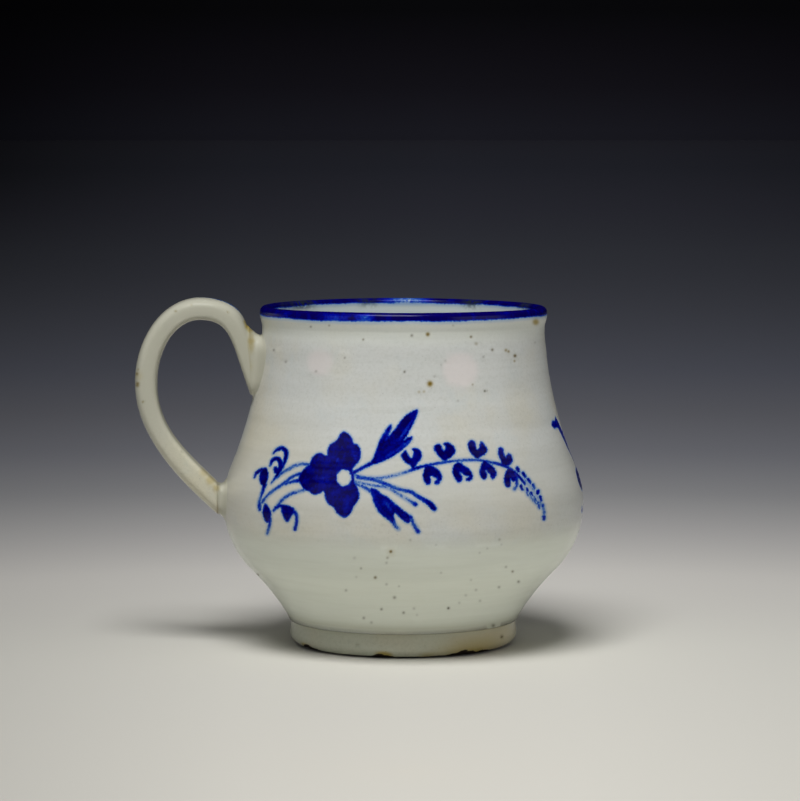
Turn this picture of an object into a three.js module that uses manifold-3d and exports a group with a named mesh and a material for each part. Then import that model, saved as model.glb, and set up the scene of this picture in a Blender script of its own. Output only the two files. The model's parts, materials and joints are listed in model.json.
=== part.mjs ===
// A small custard cup of glazed earthenware: a turned bowl with a full belly on a foot ring, and a
// pulled strap handle luted to the wall with a pad of slip at each end.
// Millimetres, +Z up. The cup stands on z = 0 and its handle points along -X.

import * as THREE from "three";
import { mergeVertices } from "three/addons/utils/BufferGeometryUtils.js";
import Module from "manifold-3d";

const wasm = await Module();
wasm.setup();

// Outside of the bowl
const rimHeight = 66;
const lipRadius = 27.9;
const neckRadius = 27.5;
const neckBelowRim = 3.6;
const bellyRadius = 35.1;
const bellyHeight = 27.5;
const bellyRounding = 17.9; // radius of the belly's arc, seen from the side
const bellyArcAbove = 23; // degrees of that arc above the widest line
const bellyArcBelow = 46;
const baseRadius = 21.5;
const baseFlare = 39; // degrees from upright where the wall leaves the foot
const sweepEase = 0.31; // share of a sweep's chord over which it keeps its first direction

// Walls
const lipThickness = 2.1;
const neckWall = 2.4;
const bellyWall = 2.8;
const floorThickness = 3.2;
const floorFlatRadius = 9;

// Foot ring
const footHeight = 4.8;
const footRadius = 21.9;
const footEdgeRounding = 2.2;
const footRestWidth = 1.9;
const footInnerRounding = 0.9;
const footInnerDraft = 0.9; // the ring's inner face leans in by this much towards its top

// Strap handle, in the plane Y = 0
const strapWidth = 9;
const strapThickness = 4;
const strapEdgeRounding = 1.6;
const handleProjection = 16.9; // beyond the belly
const bowBelowRim = 15; // from the rim down to where the loop reaches furthest out
const crownAboveRim = 1.4;
const crownOutFromNeck = 12;
const bowToCrownRoundness = 0.55;
const crownRun = 6;
const upperDropRun = 7.5;
const lowerRiseRun = 10;
const bowLowerRun = 9;

// Where the handle's two cut ends meet the slip
const upperJointBelowRim = 11.5;
const upperJointLean = 20; // degrees from upright
const lowerJointAboveBelly = 1.1;
const lowerJointLean = 47;
const upperSlipThickness = 2.2; // from the neck's radius out to the handle's cut end
const lowerSlipThickness = 1.1; // from the belly's radius out to the handle's cut end
const slipMargin = 0.3; // around the cut end, at the handle
const slipFlare = 1.5; // further spread at the wall
const slipCornerRounding = 2;
const jointGap = 0.3; // clearance between a slip pad and what it joins

// Fineness of the faceted surfaces
const turnSegments = 64;
const neckSteps = 7;
const bellySteps = 9;
const baseSteps = 4;
const floorSteps = 6;
const lipSteps = 6;
const edgeSteps = 4;
const strapSteps = 44;

// A curve that leaves one point along a direction and arrives at another along a second one
function sweep(start, departure, end, arrival, steps) {
  const pull = sweepEase * start.distanceTo(end);
  const curve = new THREE.CubicBezierCurve(
    start,
    start.clone().addScaledVector(departure, pull),
    end.clone().addScaledVector(arrival, -pull),
    end,
  );
  return curve.getPoints(steps);
}

// The direction in a profile that leans out from upright by an angle in degrees
function leaning(degrees) {
  const angle = THREE.MathUtils.degToRad(degrees);
  return new THREE.Vector2(Math.sin(angle), Math.cos(angle));
}

function arcPoints(centreX, centreY, radius, startAngle, endAngle, steps) {
  const clockwise = endAngle < startAngle;
  const arc = new THREE.ArcCurve(centreX, centreY, radius, startAngle, endAngle, clockwise);
  return arc.getPoints(steps);
}

// Joins runs of points into one profile, dropping a point that repeats the one before it
function joined(runs) {
  const nearEnough = 1e-6;
  const points = [];
  for (const point of runs.flat()) {
    const last = points[points.length - 1];
    if (!last || last.distanceTo(point) > nearEnough) points.push(point);
  }
  return points;
}

// A solid of revolution about Z, from a profile of (radius, height) points
function turned(profile) {
  const geometry = new THREE.LatheGeometry(profile, turnSegments);
  geometry.rotateX(Math.PI / 2);
  return geometry;
}

// The belly's arc from its low end to its high end, pushed out by an allowance
function bellyArc(allowance, steps) {
  const low = -THREE.MathUtils.degToRad(bellyArcBelow);
  const high = THREE.MathUtils.degToRad(bellyArcAbove);
  return arcPoints(bellyRadius - bellyRounding, bellyHeight, bellyRounding + allowance, low, high, steps);
}

// The outside of the wall from the foot up to the lip, pushed out by an allowance
function outerWall(allowance) {
  const belly = bellyArc(allowance, bellySteps);
  const base = new THREE.Vector2(baseRadius + allowance, footHeight);
  const neck = new THREE.Vector2(neckRadius + allowance, rimHeight - neckBelowRim);
  const lip = new THREE.Vector2(lipRadius + allowance, rimHeight - lipThickness / 2);
  const lower = sweep(base, leaning(baseFlare), belly[0], leaning(bellyArcBelow), baseSteps);
  const upper = sweep(belly[belly.length - 1], leaning(-bellyArcAbove), neck, leaning(0), neckSteps);
  return joined([lower, belly, upper, [lip]]);
}

// The inside of the wall from the lip down to the middle of the floor
function innerWall() {
  const floorTop = footHeight + floorThickness;
  const belly = bellyArc(-bellyWall, bellySteps - 2).reverse();
  const neck = new THREE.Vector2(neckRadius - neckWall, rimHeight - neckBelowRim);
  const floor = new THREE.Vector2(floorFlatRadius, floorTop);
  const inwards = new THREE.Vector2(-1, 0);
  const down = leaning(bellyArcBelow).negate();
  const upper = sweep(neck, leaning(180), belly[0], leaning(180 - bellyArcAbove), neckSteps - 1);
  const lower = sweep(belly[belly.length - 1], down, floor, inwards, floorSteps);
  return joined([upper, belly, lower, [new THREE.Vector2(0, floorTop)]]);
}

function bowlGeometry() {
  const lipRounding = lipThickness / 2;
  const lipCentre = lipRadius - lipRounding;
  const lip = arcPoints(lipCentre, rimHeight - lipRounding, lipRounding, 0, Math.PI, lipSteps);
  const underside = [new THREE.Vector2(0, footHeight)];
  return turned(joined([underside, outerWall(0), lip, innerWall()]));
}

function footGeometry() {
  const restOuter = footRadius - footEdgeRounding;
  const restInner = restOuter - footRestWidth;
  const innerBottom = restInner - footInnerRounding;
  const outerEdge = arcPoints(restOuter, footEdgeRounding, footEdgeRounding, -Math.PI / 2, 0, edgeSteps);
  const innerEdge = arcPoints(
    restInner, footInnerRounding, footInnerRounding, Math.PI, (3 * Math.PI) / 2, edgeSteps - 1,
  );
  const top = [
    new THREE.Vector2(footRadius, footHeight),
    new THREE.Vector2(innerBottom - footInnerDraft, footHeight),
  ];
  const profile = joined([innerEdge, outerEdge, top]);
  profile.push(profile[0].clone());
  return turned(profile);
}

// A rectangle with rounded corners, centred on the origin
function roundedOutline(width, height, rounding) {
  const halfWidth = width / 2;
  const halfHeight = height / 2;
  const corner = Math.min(rounding, 0.49 * width, 0.49 * height);
  const outline = new THREE.Shape();
  outline.moveTo(halfWidth, -halfHeight + corner);
  outline.absarc(halfWidth - corner, halfHeight - corner, corner, 0, Math.PI / 2);
  outline.absarc(-halfWidth + corner, halfHeight - corner, corner, Math.PI / 2, Math.PI);
  outline.absarc(-halfWidth + corner, -halfHeight + corner, corner, Math.PI, 1.5 * Math.PI);
  outline.absarc(halfWidth - corner, -halfHeight + corner, corner, 1.5 * Math.PI, 2 * Math.PI);
  return outline;
}

// The most that the outside of the wall measures from the axis between two heights
function widestWall(low, high) {
  const wall = outerWall(0);
  let widest = 0;
  for (let i = 1; i < wall.length; i += 1) {
    const below = wall[i - 1];
    const above = wall[i];
    if (above.y < low || below.y > high) continue;
    for (const height of [Math.max(low, below.y), Math.min(high, above.y)]) {
      const share = (height - below.y) / (above.y - below.y);
      widest = Math.max(widest, THREE.MathUtils.lerp(below.x, above.x, share));
    }
  }
  return widest;
}

// A cut end of the strap. Its upright face stands off a radius of the bowl by the slip's thickness,
// and clears the wall by both joint gaps where the wall swells out beside it.
function cutEnd(height, leanDegrees, bowlRadius, slipThickness) {
  const lean = THREE.MathUtils.degToRad(leanDegrees);
  const faceHeight = strapThickness / Math.sin(lean);
  const wallRadius = widestWall(height - faceHeight / 2, height + faceHeight / 2);
  const reach = Math.max(bowlRadius + slipThickness, wallRadius + 2 * jointGap);
  return { x: -reach, height, lean, faceHeight, slipThickness };
}

const upperEnd = cutEnd(rimHeight - upperJointBelowRim, upperJointLean, neckRadius, upperSlipThickness);
const lowerEnd = cutEnd(bellyHeight + lowerJointAboveBelly, lowerJointLean, bellyRadius, lowerSlipThickness);

// The middle line of the strap: up from the lower joint, round the bow, over the crown and down
// to the upper joint. Straight stubs carry it past both cuts.
function handlePath() {
  const halfStrap = strapThickness / 2;
  const bowX = -(bellyRadius + handleProjection - halfStrap);
  const bowHeight = rimHeight - bowBelowRim;
  const crownX = -(neckRadius + crownOutFromNeck);
  const crownHeight = rimHeight + crownAboveRim - halfStrap;
  const roundX = bowToCrownRoundness * (crownX - bowX);
  const roundHeight = bowToCrownRoundness * (crownHeight - bowHeight);
  const at = (x, z) => new THREE.Vector3(x, 0, z);
  const along = (from, direction, run) => from.clone().addScaledVector(direction, run);
  const lowerPoint = at(lowerEnd.x, lowerEnd.height);
  const upperPoint = at(upperEnd.x, upperEnd.height);
  const bow = at(bowX, bowHeight);
  const crown = at(crownX, crownHeight);
  const awayFromBelly = at(-Math.sin(lowerEnd.lean), Math.cos(lowerEnd.lean));
  const awayFromNeck = at(-Math.sin(upperEnd.lean), Math.cos(upperEnd.lean));
  const path = new THREE.CurvePath();
  path.add(new THREE.LineCurve3(along(lowerPoint, awayFromBelly, -lowerEnd.faceHeight), lowerPoint));
  path.add(new THREE.CubicBezierCurve3(
    lowerPoint, along(lowerPoint, awayFromBelly, lowerRiseRun), at(bowX, bowHeight - bowLowerRun), bow,
  ));
  path.add(new THREE.CubicBezierCurve3(
    bow, at(bowX, bowHeight + roundHeight), at(crownX - roundX, crownHeight), crown,
  ));
  path.add(new THREE.CubicBezierCurve3(
    crown, at(crownX + crownRun, crownHeight), along(upperPoint, awayFromNeck, upperDropRun), upperPoint,
  ));
  path.add(new THREE.LineCurve3(upperPoint, along(upperPoint, awayFromNeck, -upperEnd.faceHeight)));
  return path;
}

// A closed geometry as a solid that can be cut
function toSolid(geometry) {
  const bare = geometry.clone();
  bare.deleteAttribute("normal");
  bare.deleteAttribute("uv");
  const merged = mergeVertices(bare);
  const corners = merged.index.array;
  const triangles = [];
  for (let i = 0; i < corners.length; i += 3) {
    const [a, b, c] = [corners[i], corners[i + 1], corners[i + 2]];
    if (a !== b && b !== c && c !== a) triangles.push(a, b, c);
  }
  return new wasm.Manifold(new wasm.Mesh({
    numProp: 3,
    vertProperties: new Float32Array(merged.attributes.position.array),
    triVerts: new Uint32Array(triangles),
  }));
}

function toGeometry(solid) {
  const mesh = solid.getMesh();
  const geometry = new THREE.BufferGeometry();
  geometry.setAttribute("position", new THREE.BufferAttribute(mesh.vertProperties, 3));
  geometry.setIndex(new THREE.BufferAttribute(mesh.triVerts, 1));
  geometry.computeVertexNormals();
  return geometry;
}

// A block on the cup's side of a cut end, which takes away what is there
function cutter(end) {
  const depth = -end.x;
  const block = new THREE.BoxGeometry(depth, 2 * strapWidth, 3 * end.faceHeight);
  block.translate(end.x + depth / 2, 0, end.height);
  return toSolid(block);
}

function handleGeometry() {
  const strap = new THREE.ExtrudeGeometry(
    roundedOutline(strapWidth, strapThickness, strapEdgeRounding),
    { extrudePath: handlePath(), steps: strapSteps, curveSegments: edgeSteps - 1 },
  );
  return toGeometry(toSolid(strap).subtract(cutter(upperEnd)).subtract(cutter(lowerEnd)));
}

// The wall with its clearance, as the solid that shapes the back of a slip pad
function wallSolid() {
  const bottom = [new THREE.Vector2(0, footHeight)];
  const top = [new THREE.Vector2(0, rimHeight - lipThickness / 2)];
  return toSolid(turned(joined([bottom, outerWall(jointGap), top])));
}

// The slip between a cut end of the handle and the wall, spreading towards the wall
function slipPadGeometry(end) {
  const width = strapWidth + 2 * slipMargin;
  const height = end.faceHeight + 2 * slipMargin;
  const spread = Math.max(end.slipThickness, slipFlare);
  const block = new THREE.ExtrudeGeometry(roundedOutline(width, height, slipCornerRounding), {
    depth: strapWidth,
    curveSegments: edgeSteps,
    bevelEnabled: true,
    bevelThickness: spread,
    bevelSize: slipFlare,
    bevelSegments: 2,
  });
  block.rotateX(Math.PI / 2);
  block.rotateZ(Math.PI / 2);
  block.translate(end.x + jointGap + spread, 0, end.height);
  return toGeometry(toSolid(block).subtract(wallSolid()));
}

function glazed(color) {
  return new THREE.MeshStandardMaterial({ color, roughness: 0.15, metalness: 0 });
}

function piece(name, geometry, material) {
  const mesh = new THREE.Mesh(geometry, material);
  mesh.name = name;
  return mesh;
}

const cup = new THREE.Group();
cup.add(piece("cup_body", bowlGeometry(), glazed(0xc9cbc0)));
cup.add(piece("foot_ring", footGeometry(), glazed(0xbdbdae)));
cup.add(piece("handle", handleGeometry(), glazed(0xcfcbbb)));
cup.add(piece("upper_joint_slip", slipPadGeometry(upperEnd), glazed(0xbfc0b0)));
cup.add(piece("lower_joint_slip", slipPadGeometry(lowerEnd), glazed(0xbfbfae)));

// The origin lies under the middle of the whole cup, between the handle's bow and the far side
const extent = new THREE.Box3().setFromObject(cup);
cup.position.x = -(extent.min.x + extent.max.x) / 2;

export default cup;
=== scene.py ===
# A custard cup of glazed earthenware with a cobalt rim and painted sprigs, dressed around its solids.
# Lengths are millimetres until a mesh is made. The cup stands on z = 0 and its handle points along -X.

import json
import math

import bpy
import numpy as np
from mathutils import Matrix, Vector

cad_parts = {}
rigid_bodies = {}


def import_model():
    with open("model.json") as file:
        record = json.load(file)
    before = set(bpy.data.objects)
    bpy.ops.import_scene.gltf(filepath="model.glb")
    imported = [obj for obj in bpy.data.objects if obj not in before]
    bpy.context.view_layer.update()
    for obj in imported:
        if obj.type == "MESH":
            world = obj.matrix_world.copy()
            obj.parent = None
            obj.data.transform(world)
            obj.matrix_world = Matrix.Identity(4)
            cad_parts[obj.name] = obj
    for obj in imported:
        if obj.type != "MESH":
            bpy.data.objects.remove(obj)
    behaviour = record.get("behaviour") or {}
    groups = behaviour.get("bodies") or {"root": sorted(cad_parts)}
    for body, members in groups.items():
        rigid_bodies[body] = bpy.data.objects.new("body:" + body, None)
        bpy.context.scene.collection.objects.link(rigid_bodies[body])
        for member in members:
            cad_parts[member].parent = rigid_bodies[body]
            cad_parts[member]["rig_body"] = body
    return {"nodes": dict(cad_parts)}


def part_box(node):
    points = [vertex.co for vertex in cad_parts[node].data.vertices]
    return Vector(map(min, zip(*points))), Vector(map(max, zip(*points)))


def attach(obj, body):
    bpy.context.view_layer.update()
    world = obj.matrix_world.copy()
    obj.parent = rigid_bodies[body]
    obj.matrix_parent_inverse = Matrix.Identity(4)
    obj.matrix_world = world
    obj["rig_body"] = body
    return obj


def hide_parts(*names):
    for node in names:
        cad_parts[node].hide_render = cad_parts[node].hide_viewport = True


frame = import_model()
# Blender's start-up cube, lamp and camera go
for spare in [o for o in bpy.context.scene.objects if "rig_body" not in o and o.type != "EMPTY"]:
    bpy.data.objects.remove(spare)
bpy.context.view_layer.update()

METRE = 0.001
RANDOM = np.random.default_rng(1790)


def node_box(node):
    """The lowest and highest corner of a solid, in millimetres."""
    return tuple(np.array(corner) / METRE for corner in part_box(node))


# The axis that the bowl was turned about
foot_low, foot_high = node_box("foot_ring")
AXIS = np.array([(foot_low[0] + foot_high[0]) / 2, (foot_low[1] + foot_high[1]) / 2, 0.0])
FOOT_HEIGHT = foot_high[2]

# The picture plane
PICTURE_WIDTH, PICTURE_HEIGHT = 800, 801
FOCAL_PIXELS = 3265
CAMERA_DISTANCE = 634.1  # from the cup's axis, level
CAMERA_HEIGHT = 100.05
CAMERA_PITCH = math.radians(4.747)
CAMERA_TURN = math.radians(3.3)  # how far it stands round towards the handle
AXIS_RIGHT_OF_CENTRE = 3.4  # pixels
FACING = -math.pi / 2 - CAMERA_TURN  # the azimuth of the camera, seen from the axis
PIXELS_PER_MM = 5.2  # on the front of the bowl

camera_yaw = math.atan(AXIS_RIGHT_OF_CENTRE / FOCAL_PIXELS) - CAMERA_TURN
camera_place = AXIS + np.array([
    CAMERA_DISTANCE * math.cos(FACING), CAMERA_DISTANCE * math.sin(FACING), CAMERA_HEIGHT,
])
level_ahead = np.array([-math.sin(camera_yaw), math.cos(camera_yaw), 0.0])
camera_right = np.array([math.cos(camera_yaw), math.sin(camera_yaw), 0.0])
camera_ahead = level_ahead * math.cos(CAMERA_PITCH) - np.array([0, 0, math.sin(CAMERA_PITCH)])
camera_up = np.cross(camera_right, camera_ahead)


def on_stage(right, ahead, up):
    """A place in metres, measured from the cup's axis as the camera stands."""
    return AXIS * METRE + right * camera_right + ahead * level_ahead + np.array([0, 0, up])


def to_picture(places):
    """Where points of the cup lie in the picture, in pixels."""
    offset = places - camera_place
    scale = FOCAL_PIXELS / (offset @ camera_ahead)
    across = PICTURE_WIDTH / 2 + scale * (offset @ camera_right)
    down = PICTURE_HEIGHT / 2 - scale * (offset @ camera_up)
    return np.stack([across, down], axis=-1)


# Curves

def smoothstep(value, low, high):
    share = np.clip((value - low) / (high - low), 0, 1)
    return share * share * (3 - 2 * share)


def bump(value, centre, half_width):
    """A smooth bump of height 1 that fades out at its half width."""
    return np.clip(1 - ((value - centre) / half_width) ** 2, 0, 1) ** 2


def turn_from(centre, angle):
    """The signed turn in degrees from a centre to an angle, at most half a turn either way."""
    return (angle - centre + 180) % 360 - 180


def smooth(points, closed=False, steps=6):
    """A curve through given points. Every column is smoothed alike."""
    points = np.array(points, float)
    if closed:
        padded = np.vstack([points[-1:], points, points[:2]])
    else:
        padded = np.vstack([2 * points[:1] - points[1:2], points, 2 * points[-1:] - points[-2:-1]])
    t = (np.arange(steps) / steps)[:, None]
    runs = [
        0.5 * (2 * b + (c - a) * t + (2 * a - 5 * b + 4 * c - d) * t**2 + (3 * b - a - 3 * c + d) * t**3)
        for a, b, c, d in zip(padded, padded[1:], padded[2:], padded[3:])
    ]
    return np.vstack(runs if closed else runs + [points[-1:]])


def spline(stations, values):
    """A curve of even bending through values at rising stations, as a function of the station."""
    gaps = np.diff(stations)
    slopes = np.diff(values, axis=0) / gaps[:, None]
    system = np.eye(len(stations))
    pulls = np.zeros_like(values)
    for i in range(1, len(stations) - 1):
        system[i, i - 1:i + 2] = gaps[i - 1], 2 * (gaps[i - 1] + gaps[i]), gaps[i]
        pulls[i] = 6 * (slopes[i] - slopes[i - 1])
    bends = np.linalg.solve(system, pulls)

    def curve(station):
        k = np.clip(np.searchsorted(stations, station) - 1, 0, len(stations) - 2)
        gap = gaps[k][:, None]
        a = (stations[k + 1] - station)[:, None] / gap
        b = 1 - a
        bent = ((a**3 - a) * bends[k] + (b**3 - b) * bends[k + 1]) * gap**2 / 6
        return a * values[k] + b * values[k + 1] + bent

    return curve


# The outlines that the solids were turned from

def outline_links(node):
    """The (radius, height) points of a turned solid on one side of its axis, each with its neighbours."""
    mesh = frame["nodes"][node].data
    places = np.array([v.co for v in mesh.vertices]) / METRE - AXIS
    on_line = (np.abs(places[:, 1]) < 1e-3) & (places[:, 0] > -1e-3)
    keys = [tuple(np.round(place[[0, 2]], 3) + 0.0) for place in places]
    links = {}
    for edge in mesh.edges:
        a, b = edge.vertices
        if on_line[a] and on_line[b] and keys[a] != keys[b]:
            links.setdefault(keys[a], set()).add(keys[b])
            links.setdefault(keys[b], set()).add(keys[a])
    return links


def walked(links, start):
    """An outline in order from its start, which first goes to a neighbour at another height."""
    outline = [start]
    onward = [key for key in links[start] if abs(key[1] - start[1]) > 1e-3]
    while onward:
        outline.append(onward[0])
        onward = [key for key in links[outline[-1]] if key not in outline]
    return np.array(outline)


def with_stations(outline):
    """The distance of each point of an outline from its start, and the curve through the points."""
    stations = np.concatenate([[0], np.cumsum(np.hypot(*np.diff(outline, axis=0).T))])
    return stations, spline(stations, outline)


bowl_links = outline_links("cup_body")
foot_links = outline_links("foot_ring")
bowl_outline = walked(bowl_links, min(bowl_links, key=lambda key: (key[1], -key[0])))
foot_outline = walked(foot_links, max(foot_links, key=lambda key: (key[1], key[0])))
bowl_stations, bowl_curve = with_stations(bowl_outline)
foot_stations, foot_curve = with_stations(foot_outline)
BASE_RADIUS = bowl_outline[0, 0]
FLOOR_STATION = bowl_stations[-1]
sampled_stations = np.linspace(0, FLOOR_STATION, 4001)
sampled_heights = bowl_curve(sampled_stations)[:, 1]
LIP_STATION = sampled_stations[np.argmax(sampled_heights)]
RIM_HEIGHT = sampled_heights.max()
OUTSIDE = sampled_stations <= LIP_STATION


def outside_station(height):
    return np.interp(height, sampled_heights[OUTSIDE], sampled_stations[OUTSIDE])


# The bowl's skin, with what the hand leaves on it
RIM_SAG = 0.125  # how far the rim dips on the handle's side and opposite
RIM_TILT = 0.075  # how much higher than that it stands on the handle's side
JOINT_FILLET = 0.8  # how far the glaze fills out the corner over the foot ring
JOINT_FILLET_RUN = 2.1
UNDERSIDE_DOME = 0.5  # how far the underside rises in its middle


def hand_marks(angle, height):
    """How far the skin stands off the true turned form: out of round, with faint throwing lines."""
    oval = 0.07 * np.cos(2 * (angle - 0.7)) + 0.03 * np.sin(3 * angle + 0.11 * height)
    lines = 0.016 * np.sin(2.1 * height + 0.8 * np.sin(angle))
    fine_lines = 0.008 * np.sin(5.3 * height + 1.3 + 0.6 * np.sin(2 * angle + 1))
    return oval + lines + fine_lines


def round_the_axis(angle, radius, height):
    return AXIS + np.stack([radius * np.cos(angle), radius * np.sin(angle), height], axis=-1)


def bowl_place(angle, station):
    """Points of the bowl's skin. Stations below zero run across the underside."""
    radius, height = bowl_curve(np.maximum(station, 0)).T
    under = np.minimum(station, 0)
    radius = radius + under
    height = height + np.where(station < 0, UNDERSIDE_DOME * bump(radius, 0, BASE_RADIUS), 0)
    fillet = JOINT_FILLET * np.exp(-np.maximum(station, 0) / JOINT_FILLET_RUN)
    near_rim = smoothstep(height, 0.5 * RIM_HEIGHT, RIM_HEIGHT)
    marks = hand_marks(angle, height) * smoothstep(radius, 0, BASE_RADIUS)
    radius = radius + marks + np.where(station >= 0, fillet, 0)
    sway = 0.02 * np.sin(5 * angle) - RIM_SAG * np.cos(angle) ** 2 - RIM_TILT * np.cos(angle)
    height = height + near_rim * sway
    return round_the_axis(angle, radius, height)


def wall_radius(angle, height):
    """The bowl's outer radius at a height on the wall."""
    return bowl_curve(outside_station(height))[:, 0] + hand_marks(angle, height)


# Brush marks. The spray's points are pixels of the photograph, and those of the others are millimetres.

def stroke(*points, steps=5):
    """A brush stroke through (across, down, half width, strength of the colour)."""
    return {"line": smooth(points, steps=steps)}


def patch(strength, *points):
    """A filled shape with a smooth outline."""
    return {"edge": smooth(points, closed=True), "strength": strength}


def drawing(marks, gaps=(), lights=(), unit=1.0):
    """Marks, the gaps and the thinner lights in them, and the millimetres that one unit stands for."""
    return {"marks": marks, "gaps": gaps, "lights": lights, "unit": unit}


def scalloped(across, down, half_width, half_height, scallops=9, depth=0.07):
    turns = np.arange(6 * scallops) / (6 * scallops) * 2 * math.pi
    swell = 1 + depth * np.cos(scallops * turns)
    return [
        (across + half_width * s * math.cos(a), down + half_height * s * math.sin(a))
        for a, s in zip(turns, swell)
    ]


FLOWER = patch(
    0.96,
    (344, 431.5), (350, 435.5), (352.5, 440), (354, 444), (357, 444.5), (360, 449), (360.5, 456),
    (359, 461), (355, 466), (352.5, 469), (354, 476), (355, 483), (357, 487), (359, 493),
    (358.5, 499), (354, 506), (350, 513.5), (344, 517.5), (337, 513), (333.5, 507), (330, 505),
    (327, 502), (325, 496), (324, 491), (320, 493), (314, 494.5), (309, 491.5), (304, 489),
    (300.5, 484), (298.5, 479), (300.5, 473), (305, 468), (310, 463), (312.5, 457.5), (316.5, 454),
    (321, 453), (325, 455.5), (327.5, 455), (328, 449), (331, 444), (337, 440), (340, 435),
)
FLOWER_EYE = patch(1.0, *scalloped(344, 477.8, 7.4, 8.4, scallops=7, depth=0.04))
FLOWER_LIGHTS = [
    stroke((342.6, 447, 0.7, 0.22), (343, 448.6, 0.5, 0.2)),
    stroke((344, 454.6, 0.5, 0.16), (344.4, 456.2, 0.5, 0.14)),
    stroke((337, 460, 0.9, 0.26), (337.6, 462.4, 0.7, 0.2)),
    stroke((331, 472, 2.5, 0.04), (324, 480, 3.5, 0.07), (316, 478, 3.0, 0.05)),
    stroke((348, 499, 3.0, 0.05), (345, 510, 3.0, 0.07)),
    stroke((352, 451, 2.0, 0.06), (356, 459, 2.0, 0.09)),
    stroke((321, 456, 2.0, 0.08), (315, 461, 1.5, 0.06)),
]
UPPER_LEAF = [
    stroke((353.5, 472.5, 1.7, 0.9), (362, 468, 1.5, 0.85), (370, 464, 2.0, 0.9)),
    patch(
        0.97,
        (370, 464), (374, 456), (377, 448), (379, 442), (383, 434), (388, 427), (391.3, 424.6),
        (391.5, 429), (389.5, 435), (395, 429), (400, 422), (405, 416), (411, 412), (417.3, 409.6),
        (417, 415), (414, 422), (410.5, 429), (407.5, 435), (404, 440), (408, 437.5),
        (412.3, 437), (410, 442), (404, 448), (398, 453), (390, 458), (380, 462.5), (373, 464.5),
    ),
]
UPPER_LEAF_LIGHTS = [
    stroke((391.5, 428, 0.8, 0.35), (388, 436, 0.9, 0.25), (383, 447, 0.6, 0.08)),
    stroke((412, 421, 0.6, 0.2), (404, 433, 1.3, 0.3), (398, 441, 0.8, 0.1)),
    stroke((409, 441, 0.8, 0.3), (401, 447, 1.4, 0.2), (388, 456, 1.2, 0.15), (376, 461, 1.0, 0.1)),
    stroke((386, 430, 1.0, 0.2), (381, 441, 1.2, 0.15)),
]
LOWER_LEAF = [
    stroke((355, 483, 1.2, 0.5), (362, 486.3, 1.4, 0.55), (370.5, 491, 1.7, 0.75)),
    patch(
        0.92,
        (371, 488), (377, 490), (382, 494.5), (387, 496.5), (392, 501), (398, 506), (404, 511),
        (408.5, 514.5), (411, 518.5), (410, 522), (406, 522.8), (401, 518.5), (395.5, 513.5),
        (393.5, 515), (395, 521), (393, 523.6), (390, 521.5), (383, 516), (378, 511), (374.5, 504),
        (372, 496), (370, 491),
    ),
    stroke((410, 517, 2.2, 0.75), (413.5, 524, 1.8, 0.6), (418, 531.5, 2.0, 0.8)),
    stroke((392.5, 520, 2.0, 0.7), (395.5, 526, 1.7, 0.55), (398.3, 528.8, 1.4, 0.5)),
]
LOWER_LEAF_LIGHTS = [
    stroke((384, 500, 0.9, 0.12), (388, 506, 1.2, 0.2), (392, 511, 0.9, 0.16)),
    stroke((373, 492, 0.9, 0.1), (376, 500, 1.0, 0.12), (380, 509, 0.8, 0.1)),
    stroke((391, 501.5, 0.8, 0.08), (399, 509, 0.9, 0.1)),
]
STAMENS = [
    stroke(
        (357, 477.5, 1.5, 0.7), (375, 480, 1.9, 0.62), (390, 486, 1.9, 0.66), (400, 489.5, 1.6, 0.6),
        (411, 492, 1.8, 0.7), (417, 496, 1.9, 0.7), (424, 500, 2.1, 0.8), (430.6, 504.4, 2.6, 0.95),
        (434.2, 508.7, 2.4, 1.0),
    ),
    stroke(
        (377, 485.5, 1.0, 0.38), (390, 488.5, 1.3, 0.42), (400, 495, 1.3, 0.4), (410, 501, 1.5, 0.5),
        (415.4, 504.2, 2.1, 0.75),
    ),
    stroke((356, 481.5, 1.1, 0.45), (368, 484.5, 1.1, 0.5), (380, 486.5, 1.2, 0.5)),
]
HEART_STEM = stroke(
    (356, 475.5, 1.3, 0.7), (366, 478, 1.3, 0.6), (380, 478, 1.1, 0.5), (390, 476.5, 1.1, 0.48),
    (400, 474, 1.1, 0.45), (409, 471, 1.3, 0.62), (415, 468.5, 1.6, 0.88), (422.8, 466.5, 1.5, 0.9),
    (439.4, 463.1, 1.2, 0.75), (456, 460.8, 1.1, 0.7), (477.2, 460, 1.1, 0.72),
    (490.6, 462.2, 1.2, 0.78), (503.9, 465.6, 1.5, 0.85), (515, 472.8, 1.4, 0.92),
    (524.6, 483.4, 1.2, 0.9),
)
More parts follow.
